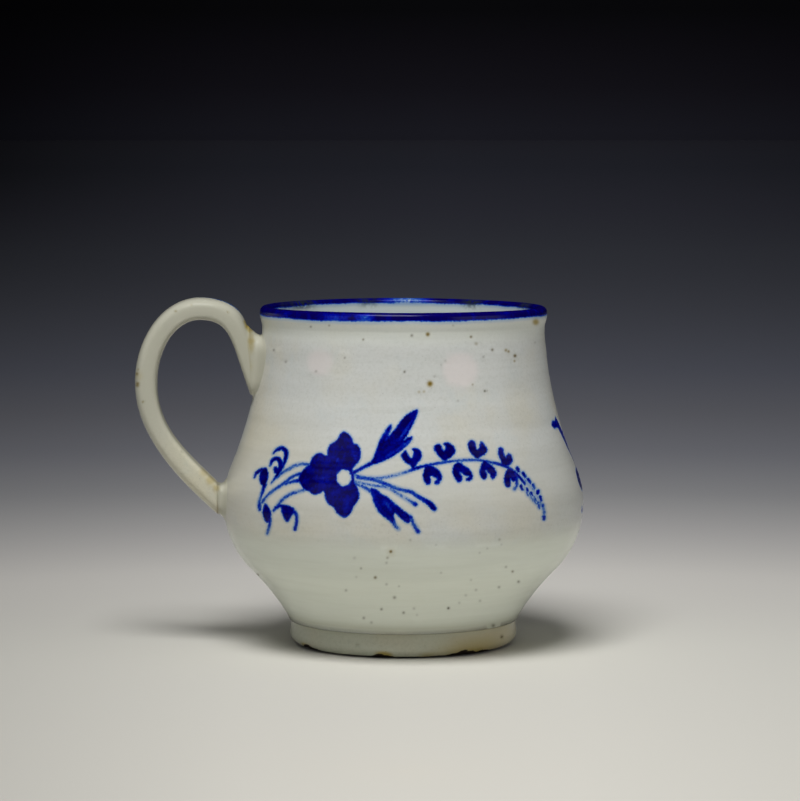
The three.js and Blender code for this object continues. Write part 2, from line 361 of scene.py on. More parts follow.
HEARTS = [
    patch(
        0.96,
        (405.6, 450.2), (407.2, 452.6), (408.8, 455.8), (411, 457.8), (413, 455.8), (413.6, 452),
        (411.9, 449.2), (414.5, 448.3), (418, 449), (420.8, 452), (421.7, 456), (420.3, 459.8),
        (417.6, 463), (415.6, 465.8), (414.4, 468.4), (411.6, 467.8), (410.2, 465.2), (406.6, 463),
        (403.2, 459.6), (401.2, 456), (402.4, 453),
    ),
    patch(
        0.97,
        (438.6, 443.9), (441.2, 445.8), (442.3, 448.8), (443.6, 450.9), (445.1, 449), (445.5, 446.3),
        (443.2, 444), (446.4, 442.6), (450, 443.4), (453.4, 446.2), (455.3, 449.8), (454.7, 453.2),
        (451.8, 456.4), (448.2, 459.2), (445.2, 461.2), (442.6, 459.8), (439.4, 456.8), (436, 452.6),
        (434.2, 448.8), (435.3, 445.4),
    ),
    patch(
        0.97,
        (472, 440.4), (474.7, 441.8), (475.8, 445), (476.1, 448), (477.4, 449.8), (479, 447.8),
        (480, 444.6), (481.2, 441.6), (483.4, 443.6), (485.8, 446.6), (487.3, 449.8), (486.3, 452.6),
        (483.4, 455.2), (480, 457.2), (477.6, 459.2), (475.2, 457.8), (471.6, 454), (469, 449.4),
        (468, 445), (469.2, 441.6),
    ),
    patch(
        0.97,
        (500.6, 447.4), (502.9, 449), (503.7, 452.4), (504.6, 455.6), (505.8, 457), (507, 454.8),
        (508.6, 453.4), (510.9, 454.8), (512.2, 457.6), (512.5, 461), (510.6, 464.2), (507.4, 465.8),
        (503.4, 465.4), (501.2, 462), (499.4, 457), (498.2, 452.6), (498.5, 449),
    ),
    patch(
        0.97,
        (425.2, 466.4), (430.4, 465.3), (434.8, 467.2), (438.4, 470), (441, 473.8), (441.9, 477.6),
        (440.6, 481.4), (438.2, 484), (435.2, 483.8), (434.8, 481.4), (436.2, 479.6), (434.6, 477.4),
        (431.6, 476), (429.9, 476.4), (430.5, 479), (430.7, 482), (428.8, 484.6), (426, 484),
        (423.9, 480.4), (423, 476), (423.8, 471.4), (424.5, 468.4),
    ),
    patch(
        0.97,
        (456, 463.2), (459.6, 462.4), (463.2, 465), (467.4, 467.8), (471, 471.4), (472.6, 475.4),
        (471.9, 479.2), (469, 480.8), (466, 480.2), (466.4, 478.2), (468.4, 476.6), (466.6, 475.6),
        (463.8, 475.2), (461.4, 472.4), (460, 472.2), (461.2, 475.4), (462.2, 478.6), (460.8, 481.6),
        (458.4, 482.2), (455.8, 479.6), (453.8, 475.8), (452.6, 471), (453.6, 466.2),
    ),
    patch(
        0.97,
        (484.6, 460), (488.2, 462.6), (492.2, 465.8), (495.2, 469.6), (496.6, 473.4), (495.2, 477),
        (492.7, 479.2), (491, 477.6), (490, 474.6), (487.4, 471.6), (485.7, 470.4), (486.2, 472.8),
        (487.2, 475.6), (485.7, 478.6), (483.4, 479.4), (481.2, 477), (479.8, 473.6), (479.9, 469.2),
        (481.4, 465), (482.8, 462),
    ),
    patch(
        0.97,
        (508.6, 467.8), (512.8, 470.2), (515.6, 474), (516.2, 478), (514.8, 481.6), (512.2, 480.6),
        (510.4, 478.6), (510.8, 482.4), (510.3, 486.2), (507.6, 487.2), (505, 485), (504.1, 481.2),
        (504.8, 475.8), (506.4, 471.2),
    ),
    stroke(
        (515.4, 476.5, 1.9, 0.9), (516.8, 481.5, 1.7, 0.75), (516.6, 485.5, 1.5, 0.6),
        (514.4, 489, 1.5, 0.5),
    ),
]
HEART_LIGHTS = [
    stroke((435.4, 479, 1.0, 0.35), (438, 477.6, 1.0, 0.3)),
    stroke((438.4, 481, 1.6, 0.12), (436.6, 483.4, 1.4, 0.15)),
    stroke((466.8, 478.2, 0.9, 0.3), (468.6, 477, 0.8, 0.3)),
    stroke((494.4, 474.6, 1.4, 0.12), (492.8, 478, 1.2, 0.15)),
]
DASHES = [
    stroke(
        (511.5, 470, 1.3, 0.95), (518, 475.3, 1.3, 0.98), (522, 479.6, 1.3, 0.95),
        (524.8, 483.8, 1.2, 0.95),
    ),
    stroke((517.2, 468.2, 1.5, 1.0), (518.8, 471.4, 1.4, 0.95)),
    stroke((523, 473.1, 1.5, 1.0), (525.3, 476.8, 1.3, 0.95)),
    stroke((528.2, 479.3, 1.5, 0.95), (530.2, 482.6, 1.3, 0.8)),
    stroke((533.2, 484.8, 1.3, 0.9), (534.6, 488.2, 1.0, 0.6)),
    stroke((537.1, 493.4, 1.7, 0.88), (538.3, 491.2, 1.7, 0.88)),
    stroke((540.2, 496.6, 1.4, 0.9), (540.9, 500.6, 1.3, 0.85)),
    stroke((520.9, 485.8, 1.3, 0.95), (522.2, 489.2, 1.3, 0.9)),
    stroke((526.8, 489.6, 1.8, 0.9), (527.2, 491.4, 1.5, 0.75), (528, 495, 1.0, 0.5)),
    stroke((531.2, 493, 1.3, 0.88), (531.8, 496.4, 1.3, 0.78)),
    stroke((533.8, 497, 1.0, 0.6), (536.2, 501.6, 1.3, 0.7)),
    stroke((538.5, 502.8, 1.3, 0.78), (539.4, 507.6, 1.2, 0.75)),
    stroke(
        (542.7, 504.8, 1.4, 0.66), (543.6, 509.6, 1.1, 0.5), (544.3, 512.4, 1.1, 0.7),
        (544.1, 515, 0.9, 0.5),
    ),
    stroke((543.8, 516.8, 1.5, 0.92), (544, 518.8, 1.4, 0.92)),
    stroke((524, 488, 1.0, 0.28), (530, 495, 1.6, 0.32), (536, 502, 1.8, 0.42), (540.5, 505, 1.6, 0.4)),
    stroke((519, 473, 0.8, 0.2), (526, 481, 1.0, 0.25), (533, 490, 0.8, 0.2), (541.5, 503, 0.8, 0.35)),
]
TENDRILS = [
    stroke(
        (273, 453.8, 0.5, 0.85), (276.6, 450, 1.5, 0.95), (282, 448.2, 1.9, 0.95),
        (286, 451.5, 2.1, 0.95), (285.6, 458, 1.8, 0.95), (282.6, 466.5, 1.3, 0.9),
        (279.4, 472.8, 0.9, 0.85),
    ),
    stroke(
        (270.2, 465.8, 0.8, 0.85), (272.2, 460.8, 1.6, 0.95), (277, 458.4, 2.0, 0.95),
        (280.2, 461.5, 2.2, 0.95), (280.4, 467, 2.1, 0.95), (278, 473.5, 1.9, 0.95),
        (274.5, 478.8, 1.1, 0.85), (271, 483.6, 0.4, 0.7),
    ),
    stroke((275.8, 469.2, 2.5, 0.95), (276.4, 471.5, 2.6, 0.95)),
    stroke(
        (309.2, 464.6, 1.4, 0.6), (301.7, 464.2, 1.5, 0.5), (295, 465.8, 1.4, 0.55),
        (288.3, 469.2, 1.4, 0.6), (281.7, 473.2, 1.3, 0.6), (276.4, 477.8, 1.2, 0.65),
    ),
    stroke(
        (254.4, 477.4, 0.7, 0.85), (256.4, 473.2, 1.5, 0.92), (261, 470.2, 1.7, 0.95),
        (265, 469.4, 1.5, 0.95),
    ),
    patch(
        0.97,
        (265.6, 467.6), (268.2, 472.6), (267.8, 478.6), (265.2, 486.6), (261.2, 484.4), (259.2, 478.4),
        (260.6, 472),
    ),
    stroke(
        (264.6, 485, 2.0, 0.92), (262.2, 492.4, 1.3, 0.78), (260, 499.4, 1.2, 0.6),
        (259.3, 505, 1.8, 0.75), (259.8, 509.5, 1.6, 0.7),
    ),
    stroke(
        (301.7, 473.4, 1.6, 0.85), (295, 475.4, 1.4, 0.75), (288.3, 479.8, 1.4, 0.75),
        (281.7, 484.8, 1.4, 0.72), (273.3, 490.6, 1.3, 0.62), (266.7, 496.2, 1.2, 0.55),
        (262, 502.5, 1.3, 0.6),
    ),
    stroke((300.4, 480.2, 1.7, 0.85), (291.7, 481.7, 1.4, 0.75), (285, 484, 1.2, 0.68)),
    patch(
        0.97,
        (264.8, 503.6), (268, 506.6), (270.8, 512), (270.6, 519), (267.3, 522.8), (264.2, 518.6),
        (262.6, 512.6),
    ),
    stroke((269.6, 518, 1.7, 0.9), (269.6, 525, 1.3, 0.75), (267.2, 533.8, 0.9, 0.6)),
    stroke(
        (303.3, 490.2, 1.3, 0.55), (296.7, 491.9, 1.4, 0.55), (289.4, 494.6, 1.5, 0.62),
        (282.4, 499.6, 1.4, 0.62), (278.4, 504.8, 1.4, 0.7), (273.6, 510.6, 1.2, 0.8),
    ),
    stroke((275.6, 508, 1.5, 0.85), (279.6, 505.8, 1.6, 0.85), (284, 506.2, 1.6, 0.9)),
    patch(
        0.95,
        (281.6, 505.6), (286.7, 505.2), (292, 507.6), (294.8, 511), (291, 517), (287, 521.8),
        (283, 516), (281.4, 510.4),
    ),
    stroke(
        (292.4, 509, 1.6, 0.85), (296.2, 514.6, 1.5, 0.78), (296.6, 521.7, 1.5, 0.74),
        (295, 528.8, 1.7, 0.85),
    ),
]
SPRAY = drawing(
    [FLOWER, *UPPER_LEAF, *LOWER_LEAF, *STAMENS, HEART_STEM, *HEARTS, *DASHES, *TENDRILS],
    gaps=[FLOWER_EYE],
    lights=[*FLOWER_LIGHTS, *UPPER_LEAF_LIGHTS, *LOWER_LEAF_LIGHTS, *HEART_LIGHTS],
    unit=1 / PIXELS_PER_MM,
)

# The small sprig opposite the handle, in millimetres across from its middle and up from the floor
SIDE_LEAF = [
    stroke((-1.6, 35.2, 0.3, 0.8), (-3.4, 36.6, 0.45, 0.85)),
    patch(
        0.85,
        (-3.2, 36.0), (-4.6, 37.6), (-6.4, 39.4), (-7.8, 41.2), (-9.8, 42.8), (-12.4, 42.9), (-13.8, 43.6),
        (-12.4, 44.3), (-10.4, 44.2), (-8.8, 44.8), (-7.2, 43.7), (-5.4, 41.8), (-4.2, 41.9), (-3.8, 40.2),
        (-2.9, 38.2),
    ),
]
SIDE_LEAF_RIGHT = [
    stroke((1.8, 35.0, 0.3, 0.8), (3.2, 36.0, 0.4, 0.85)),
    patch(
        0.88,
        (3.0, 35.6), (4.8, 36.4), (6.6, 38.0), (8.2, 40.4), (9.4, 42.6), (7.4, 41.6), (5.8, 40.6),
        (5.6, 41.8), (4.4, 40.0), (3.4, 37.8),
    ),
]
SIDE_FLOWER = patch(
    0.98,
    (0.4, 38.2), (2.0, 37.0), (2.6, 35.2), (3.8, 34.6), (5.6, 33.4), (6.0, 31.8), (4.6, 30.4), (3.0, 30.6),
    (2.2, 29.2), (0.8, 27.4), (-0.6, 27.0), (-2.0, 28.4), (-2.8, 30.2), (-4.6, 30.2), (-6.8, 30.9),
    (-7.9, 32.4), (-6.9, 34.0), (-4.8, 34.4), (-3.2, 34.6), (-2.2, 36.4), (-1.2, 37.8),
)
SIDE_STEMS = [
    stroke((1.5, 29.0, 0.3, 0.6), (3.6, 27.4, 0.28, 0.55), (5.8, 26.8, 0.3, 0.6), (7.4, 27.4, 0.45, 0.9)),
    stroke(
        (-1.8, 29.0, 0.3, 0.6), (-3.8, 27.2, 0.28, 0.55), (-6.0, 26.4, 0.3, 0.6),
        (-7.6, 26.9, 0.45, 0.9),
    ),
    stroke((0.0, 28.0, 0.3, 0.6), (0.3, 25.8, 0.3, 0.6), (0.0, 24.4, 0.42, 0.9)),
]
SIDE_SPRIG = drawing(
    [SIDE_FLOWER, *SIDE_LEAF, *SIDE_LEAF_RIGHT, *SIDE_STEMS],
    gaps=[patch(1.0, *scalloped(-0.6, 32.6, 1.35, 1.45))],
    lights=[stroke((-6.5, 41.0, 0.2, 0.25), (-4.6, 38.8, 0.25, 0.2))],
)

NOWHERE = -9.0  # the depth in a mark, far outside it, in millimetres
MARK_MARGIN = 1.6  # how far around a mark its distance is worked out, in millimetres


def across_segments(places, starts, ends):
    """The distance from each place to each segment, and how far along the segment that is."""
    ways = ends - starts
    offsets = places[:, None, :] - starts[None, :, :]
    shares = np.clip((offsets * ways).sum(-1) / np.maximum((ways**2).sum(-1), 1e-12), 0, 1)
    return np.linalg.norm(offsets - shares[..., None] * ways, axis=-1), shares


def line_depth(line, places):
    distance, share = across_segments(places, line[:-1, :2], line[1:, :2])
    half = line[:-1, 2] * (1 - share) + line[1:, 2] * share
    strength = line[:-1, 3] * (1 - share) + line[1:, 3] * share
    best = np.argmax(half - distance, axis=1)
    rows = np.arange(len(places))
    return (half - distance)[rows, best], strength[rows, best]


def edge_depth(edge, places):
    ends = np.roll(edge, -1, axis=0)
    distance = across_segments(places, edge, ends)[0].min(axis=1)
    x, y = places[:, 0:1], places[:, 1:2]
    straddles = (edge[:, 1] > y) != (ends[:, 1] > y)
    rise = np.where(ends[:, 1] == edge[:, 1], 1, ends[:, 1] - edge[:, 1])
    crossing = edge[:, 0] + (y - edge[:, 1]) * (ends[:, 0] - edge[:, 0]) / rise
    inside = (straddles & (x < crossing)).sum(axis=1) % 2 == 1
    return np.where(inside, distance, -distance)


def mark_depth(mark, places, unit):
    """How deep inside a mark each place lies, in millimetres, and the strength of its colour."""
    points = mark["line"] if "line" in mark else mark["edge"]
    margin = MARK_MARGIN / unit + (points[:, 2].max() if "line" in mark else 0)
    low, high = points[:, :2].min(axis=0) - margin, points[:, :2].max(axis=0) + margin
    near = ((places > low) & (places < high)).all(axis=1)
    depth = np.full(len(places), NOWHERE)
    strength = np.zeros(len(places))
    if near.any():
        if "line" in mark:
            found, strength[near] = line_depth(mark["line"], places[near])
        else:
            found = edge_depth(mark["edge"], places[near])
            strength[near] = mark["strength"]
        depth[near] = found * unit
    return depth, strength


def drawn(sketch, places):
    """The depth in a whole drawing and the strength of its colour."""
    depth = np.full(len(places), NOWHERE)
    strength = np.zeros(len(places))
    for mark in sketch["marks"]:
        inside, mark_strength = mark_depth(mark, places, sketch["unit"])
        nearer = inside > depth
        depth[nearer] = inside[nearer]
        strength[nearer] = mark_strength[nearer]
    for gap in sketch["gaps"]:
        depth = np.minimum(depth, -mark_depth(gap, places, sketch["unit"])[0])
    for light in sketch["lights"]:
        inside, amount = mark_depth(light, places, sketch["unit"])
        strength = strength - amount * smoothstep(inside, -0.25, 0.2)
    return depth, strength


# Where the drawings go on the wall: degrees round from the side that faces the camera
BAND_LOW, BAND_HIGH = 23.6, 47.6  # heights
FRONT_REACH = 64
SIDE_SPRIG_AT = 92
SIDE_SPRIG_REACH = 27
WALL_CHART_RADIUS = 34.5  # turns degrees round the wall into millimetres across it
BACK_SPRAY_SWAY = 0.9  # degrees by which the spray behind strays from the front one
BACK_SPRAY_RISE = 0.35  # millimetres by which it strays up and down


def round_from_front(angle):
    return turn_from(0, np.degrees(angle - FACING))


def painting(angle, station):
    """The depth in the painting on the wall and the strength of the colour there."""
    depth = np.full(len(angle), NOWHERE)
    strength = np.zeros(len(angle))
    low, high = outside_station(BAND_LOW - 2), outside_station(BAND_HIGH + 2)
    in_band = (station > low) & (station < high)
    round_front = round_from_front(angle)
    round_back = turn_from(180, round_front)
    round_side = turn_from(SIDE_SPRIG_AT, round_front)

    front = in_band & (np.abs(round_front) < FRONT_REACH)
    if front.any():
        depth[front], strength[front] = drawn(SPRAY, to_picture(bowl_place(angle[front], station[front])))
    back = in_band & (np.abs(round_back) < FRONT_REACH)
    if back.any():
        turned, climbed = round_back[back], station[back]
        swayed = turned + BACK_SPRAY_SWAY * np.sin(0.35 * climbed + 0.05 * turned)
        raised = climbed + BACK_SPRAY_RISE * np.sin(np.radians(4 * turned))
        depth[back], strength[back] = drawn(
            SPRAY, to_picture(bowl_place(FACING + np.radians(swayed), raised)),
        )
    side = in_band & (np.abs(round_side) < SIDE_SPRIG_REACH)
    if side.any():
        across = WALL_CHART_RADIUS * np.radians(round_side[side])
        height = bowl_curve(station[side])[:, 1]
        depth[side], strength[side] = drawn(SIDE_SPRIG, np.stack([across, height], axis=-1))
    return depth, strength


# The rim band, as distances along the outline from the top of the lip
BAND_DOWN_OUTSIDE = 2.12
BAND_DOWN_INSIDE = 1.5

# Its uneven places, each at degrees round from the front with its half width and amount
BRIGHT_RIM = [
    (-27, 9, 0.2), (-15, 5, 0.34), (-52, 9, 0.06), (120, 22, 0.12), (207, 22, 0.24), (163, 10, 0.2),
]
THICKER_BAND = [(-26, 26, 0.14), (55, 45, -0.12), (-75, 18, 0.14)]
# Where the band is paler on and inside the top of the lip
PALER_RIM_TOP = [(179, 13, 0.6), (172, 5, 0.12), (332, 7, 0.15)]
SCORCHED_RIM = [
    (232, 13, 1.0), (196, 7, 0.8), (148, 7, 0.95), (113, 8, 0.85), (246, 6, 0.4), (300, 5, 0.3),
]


def round_sum(round_front, spots):
    """The sum of smooth spots round the cup, given as middle and half width in degrees and amount."""
    return sum(amount * bump(turn_from(at, round_front), 0, half) for at, half, amount in spots)


def rim_band(angle, station):
    """The depth inside the painted rim band and the strength of its colour."""
    from_top = station - LIP_STATION
    round_front = round_from_front(angle)
    wander = 0.05 * np.sin(5 * angle + 0.7) + 0.035 * np.sin(13 * angle) + 0.02 * np.sin(31 * angle + 2)
    thicker = round_sum(round_front, THICKER_BAND)
    outside = from_top + BAND_DOWN_OUTSIDE + wander + thicker
    inside = BAND_DOWN_INSIDE - from_top + 1.3 * wander
    strength = 1.0 - round_sum(round_front, BRIGHT_RIM) * smoothstep(-from_top, 0.4, 1.4)
    strength = strength - round_sum(round_front, PALER_RIM_TOP) * smoothstep(from_top, -0.6, 0.4)
    return np.minimum(outside, inside), strength


def scorching(angle, station):
    """Blackish spots on the inner side of the rim."""
    from_top = station - LIP_STATION
    spots = round_sum(round_from_front(angle), SCORCHED_RIM)
    return spots * bump(from_top, 1.0, 1.9)


# Iron specks in pixels of the photograph: across, down, radius, then how dark and how rusty from 0 to 1
FRONT_SPECKS = [
    (310.8, 326.8, 1.3, 0.35, 0), (329.2, 325.5, 1.3, 0.28, 0), (363.2, 339.6, 1.2, 0.4, 0.35),
    (411.8, 335.5, 1.6, 0.4, 0.2), (427.8, 334.3, 1.9, 0.5, 0.9), (471, 336.8, 1.4, 0.45, 0.5),
    (476.3, 343.8, 1.8, 0.2, 0.4), (492.3, 349.8, 1.7, 0.45, 0.3), (506, 350.3, 1.6, 0.3, 0.6),
    (508.5, 351.4, 1.4, 0.35, 0.6), (515, 355.8, 1.8, 0.6, 0.5), (514.5, 361, 1.2, 0.25, 0.6),
    (483.3, 357, 1.5, 0.25, 0), (535, 342.5, 1.3, 0.15, 0), (273.8, 350, 1.4, 0.35, 0),
    (285.8, 361.8, 1.6, 0.3, 0), (344.8, 357.8, 1.2, 0.35, 0), (316, 371.3, 1.5, 0.25, 0),
    (404.5, 371.8, 1.5, 0.5, 0.1), (430, 383.8, 2.6, 0.95, 1), (434.5, 376.8, 1.3, 0.2, 0.1),
    (419, 392, 1.5, 0.15, 0.5), (424, 391.6, 1.5, 0.15, 0.5), (484.8, 391, 1.4, 0.55, 0.1),
    (487, 390.8, 1, 0.25, 0.2), (472.7, 384.6, 1.2, 0.3, 0.4), (458, 400.8, 1.4, 0.2, 0.1),
    (441.3, 365, 1.3, 0.15, 0.1), (445.5, 360.5, 1.3, 0.15, 0), (453, 325.5, 1.4, 0.15, 0.2),
    (535.8, 322, 2.8, 0.1, 1.0), (390.8, 551.6, 1.6, 0.9, 0.8), (387.5, 557.8, 1.5, 0.25, 0.3),
    (386.5, 562.8, 1.5, 0.2, 0), (361, 568.4, 1.3, 0.3, 0), (354.5, 558, 1.8, 0.12, 0),
    (375.3, 577.5, 1.6, 0.45, 0.5), (356.3, 577, 1.4, 0.12, 0), (386.5, 584.3, 1.6, 0.2, 0),
    (399, 586.3, 1.2, 0.2, 0), (346, 590.4, 1.6, 0.25, 0), (394.5, 597.5, 1.9, 0.35, 0.1),
    (381.5, 609.2, 1.5, 0.38, 0), (403.6, 612.7, 1.6, 0.38, 0), (363.8, 618, 1.6, 0.3, 0),
    (371.5, 622.5, 1.6, 0.2, 0), (414, 608.5, 1.6, 0.18, 0), (417, 615, 1.4, 0.12, 0),
    (448.4, 608.2, 1.5, 0.95, 0), (441, 572.8, 1.4, 0.15, 0), (436, 545, 1.3, 0.15, 0),
    (410.3, 540, 1.5, 0.18, 0), (499.5, 539.5, 1.6, 0.2, 0.2), (501.5, 544.5, 1.2, 0.15, 0.1),
    (487.3, 548.5, 1.2, 0.15, 0), (479.6, 552.8, 1.3, 0.15, 0), (506, 567, 1.5, 0.25, 0.1),
    (512.6, 571.5, 1.4, 0.4, 0.3), (518.5, 581.7, 1.6, 0.4, 0), (499, 587.2, 1.5, 0.3, 0),
    (476, 590, 1.5, 0.2, 0), (465.8, 595.3, 1.6, 0.15, 0), (471, 580, 1.4, 0.15, 0),
    (480, 600.8, 1.5, 0.2, 0), (459.3, 602.8, 1.5, 0.15, 0), (493.3, 625.6, 2.2, 0.4, 0),
    (501.8, 636.8, 1.7, 0.6, 0.3), (357.5, 645, 1.4, 0.4, 0.2), (257.5, 575, 1.8, 0.5, 0.3),
]
# Soft spots in pixels of the photograph: across, down, radius, amount
OCHRE_SPOTS = [
    (535.8, 322, 3.4, 0.8), (430, 384, 4.5, 0.4), (511, 356, 8, 0.14), (391, 552, 6, 0.28),
    (418, 598, 9, 0.14),
]
# Two pink discs painted into the glaze as reflections of round lamps: across, down, radius, amount
PAINTED_REFLECTION_SPOTS = [(320, 362, 13.5, 0.8), (460.5, 370, 17.5, 1.0)]
WARM_PATCHES = [(258, 470, 48, 0.6), (300, 525, 42, 0.35), (545, 560, 40, 0.2), (255, 560, 45, 0.45)]
BELT_HEIGHT, BELT_REACH = 34, 10  # where shade is painted into the glaze, round the belly
JOINT_SHADE_TOP = 8  # height below which shade is painted into the glaze, greying it towards the foot
NECK_PAINTED_LIGHT = 59  # height above which light is painted into the glaze, paler again, against the rim's shadow
BLEND_HEIGHT = 3  # over which either of these two comes in
BELLY_TOP, BELLY_MIDDLE = 26, 21  # heights between which light is painted into the glaze, paler and greener downwards, as the floor lights the lower belly
SPECKED_FRONT = 80  # degrees either side that the listed specks cover
OTHER_SPECKS = 90
INNER_SHARE = 0.3  # of the other specks lie inside the bowl


def scattered_specks():
    """Seeded specks for the sides that the list doesn't cover: angle, station, radius, darkness, rust."""
    rounds = RANDOM.uniform(SPECKED_FRONT + 3, 357 - SPECKED_FRONT, OTHER_SPECKS)
    stations = RANDOM.uniform(2, LIP_STATION - 3, OTHER_SPECKS)
    inner = RANDOM.uniform(LIP_STATION + 4, FLOOR_STATION - 5, OTHER_SPECKS)
    is_inner = RANDOM.random(OTHER_SPECKS) < INNER_SHARE
    rounds = np.where(is_inner, RANDOM.uniform(0, 360, OTHER_SPECKS), rounds)
    stations = np.where(is_inner, inner, stations)
    radii = 0.2 + 0.25 * RANDOM.random(OTHER_SPECKS) ** 3
    darkness = 0.15 + 0.8 * RANDOM.random(OTHER_SPECKS) ** 3
    rust = RANDOM.random(OTHER_SPECKS) ** 3
    return np.stack([FACING + np.radians(rounds), stations, radii, darkness, rust], axis=-1)


speck_list = scattered_specks()


def speck_fields(specks, distance_to, per_mm=1.0):
    """The dark and the rusty share of specks at each place, and the millimetres to the nearest one.

    A speck is its two coordinates, radius, darkness and rust. Distances are in the radius's unit.
    """
    core, halo, nearest = 0.0, 0.0, -NOWHERE
    for first, second, radius, darkness, rust in specks:
        distance = distance_to(first, second)
        core = np.maximum(core, min(1.7 * darkness, 1) * np.exp(-1.4 * (distance / radius) ** 2))
        halo = np.maximum(halo, rust * np.exp(-0.9 * (distance / (1.25 * radius)) ** 2))
        nearest = np.minimum(nearest, (distance - radius) / per_mm)
    return core, halo, nearest


def picture_specks(picture, visible, specks):
    """The fields of specks listed in pixels."""
    def distance_to(across, down):
        return np.where(visible, np.hypot(picture[:, 0] - across, picture[:, 1] - down), np.inf)

    return speck_fields(specks, distance_to, PIXELS_PER_MM)


def bowl_specks(picture, visible, places):
    """The fields of the listed specks and the seeded ones together."""
    def distance_to(angle, station):
        return np.linalg.norm(places - bowl_place(np.array([angle]), np.array([station])), axis=1)

    core, halo, nearest = picture_specks(picture, visible, FRONT_SPECKS)
    others = speck_fields(speck_list, distance_to)
    return np.maximum(core, others[0]), np.maximum(halo, others[1]), np.minimum(nearest, others[2])


def picture_spots(picture, visible, spots, softness):
    """Soft round spots, given as across, down, radius and amount."""
    field = np.zeros(len(picture))
    for across, down, radius, amount in spots:
        distance = np.hypot(picture[:, 0] - across, picture[:, 1] - down)
        outer, inner = radius * (1 + softness), radius * (1 - softness)
        field = np.maximum(field, amount * smoothstep(-distance, -outer, -inner))
    return np.where(visible, field, 0)


# The bowl's mesh: coarse cells that are quartered wherever something small is painted
COLUMNS = 144
FINEST = 8  # finest steps along a coarse cell
WIDE_REACH, FINE_REACH = 0.18, 0.08  # a cell is quartered where an edge of paint is this near
SEAM_AT = -122  # degrees round from the front at which the bake is cut open, clear of the spray
LIP_REACH = 4.4  # along the outline, each way from the top of the lip
BOWL_BANDS = [
    ("underside", -BASE_RADIUS, 0.0, 12),
    ("lower wall", 0.0, outside_station(BAND_LOW), 16),
    ("painted", outside_station(BAND_LOW), outside_station(BAND_HIGH), 17),
    ("neck", outside_station(BAND_HIGH), LIP_STATION - LIP_REACH, 10),
    ("lip", LIP_STATION - LIP_REACH, LIP_STATION + LIP_REACH, 22),
    ("inside", LIP_STATION + LIP_REACH, FLOOR_STATION, 44),
]
row_stations = np.concatenate(
    [np.linspace(low, high, rows + 1)[:-1] for _, low, high, rows in BOWL_BANDS] + [[FLOOR_STATION]]
)
ROWS = len(row_stations) - 1
ROUND_STEPS = COLUMNS * FINEST


def lattice_angle(i):
    return FACING + math.radians(SEAM_AT) + 2 * math.pi * np.asarray(i) / ROUND_STEPS


def lattice_station(j):
    return np.interp(np.asarray(j) / FINEST, np.arange(ROWS + 1), row_stations)


def bowl_fields(angle, station):
    """Everything that is painted or fired into the bowl's skin."""
    places = bowl_place(angle, station)
    picture = to_picture(places)
    round_front = round_from_front(angle)
    visible = (np.abs(round_front) < SPECKED_FRONT) & (station > 0) & (station < LIP_STATION)
    outside = (station > 0) & (station < LIP_STATION)
    paint, strength = painting(angle, station)
    rim, rim_strength = rim_band(angle, station)
    core, halo, speck_distance = bowl_specks(picture, visible, places)
    return {
        "paint": paint,
        "strength": strength,
        "rim": rim,
        "rim_strength": rim_strength,
        "scorch": scorching(angle, station),
        "speck": core,
        "rust": np.maximum(halo, picture_spots(picture, visible, OCHRE_SPOTS, 0.6)),
        # Painted reflections of round lamps
        "painted_reflection": picture_spots(picture, visible, PAINTED_REFLECTION_SPOTS, 0.35),
        "warmth": picture_spots(picture, visible, WARM_PATCHES, 0.95),
        # Light painted onto the lower belly
        "low": outside * smoothstep(-places[:, 2], -BELLY_TOP, -BELLY_MIDDLE),
        "inside": smoothstep(station, LIP_STATION, LIP_STATION + 2),
        # Light painted onto the top of the neck, under the rim
        "neck": outside * smoothstep(places[:, 2], NECK_PAINTED_LIGHT, NECK_PAINTED_LIGHT + BLEND_HEIGHT),
        # Shade painted into the corner over the foot
        "joint": outside * smoothstep(-places[:, 2], -JOINT_SHADE_TOP, BLEND_HEIGHT - JOINT_SHADE_TOP),
        # Shade painted in a belt round the belly
        "painted_belt_shade": outside * bump(places[:, 2], BELT_HEIGHT, BELT_REACH),
        "nearest": np.minimum(speck_distance, np.minimum(np.abs(paint), np.abs(rim))),
    }


def leaf_cells():
    """The cells of the bowl's mesh as rows of (column step, row step, size)."""
    columns, rows = np.meshgrid(np.arange(COLUMNS), np.arange(ROWS), indexing="ij")
    cells = np.stack([columns.ravel() * FINEST, rows.ravel() * FINEST], axis=-1)
    leaves = []
    size = FINEST
    while size > 1:
        middle = cells + size / 2
        angle, station = lattice_angle(middle[:, 0]), lattice_station(middle[:, 1])
        tall = lattice_station(cells[:, 1] + size) - lattice_station(cells[:, 1])
        wide = bowl_curve(np.maximum(station, 0))[:, 0] * 2 * math.pi * size / ROUND_STEPS
        fields = bowl_fields(angle, station)
        reach = 0.5 * np.hypot(tall, wide) + (WIDE_REACH if size > 2 else FINE_REACH)
        in_paint = (fields["paint"] > 0) & (size > 2)
        split = (fields["nearest"] < reach) | in_paint
        leaves.append(np.column_stack([cells[~split], np.full((~split).sum(), size)]))
        half = size // 2
        corners = ((0, 0), (half, 0), (0, half), (half, half))
        cells = np.concatenate([cells[split] + corner for corner in corners])
        size = half
    leaves.append(np.column_stack([cells, np.ones(len(cells), int)]))
    return np.concatenate(leaves)


def cell_outline(column, row, size, corners):
    """A cell's corners in order, with the corners of finer neighbours that lie on its sides."""
    outline = []
    sides = (
        [(column + k, row) for k in range(size)],
        [(column + size, row + k) for k in range(size)],
        [(column + size - k, row + size) for k in range(size)],
        [(column, row + size - k) for k in range(size)],
    )
    for side in sides:
        outline.append(side[0])
        outline.extend(step for step in side[1:] if (step[0] % ROUND_STEPS, step[1]) in corners)
    return outline


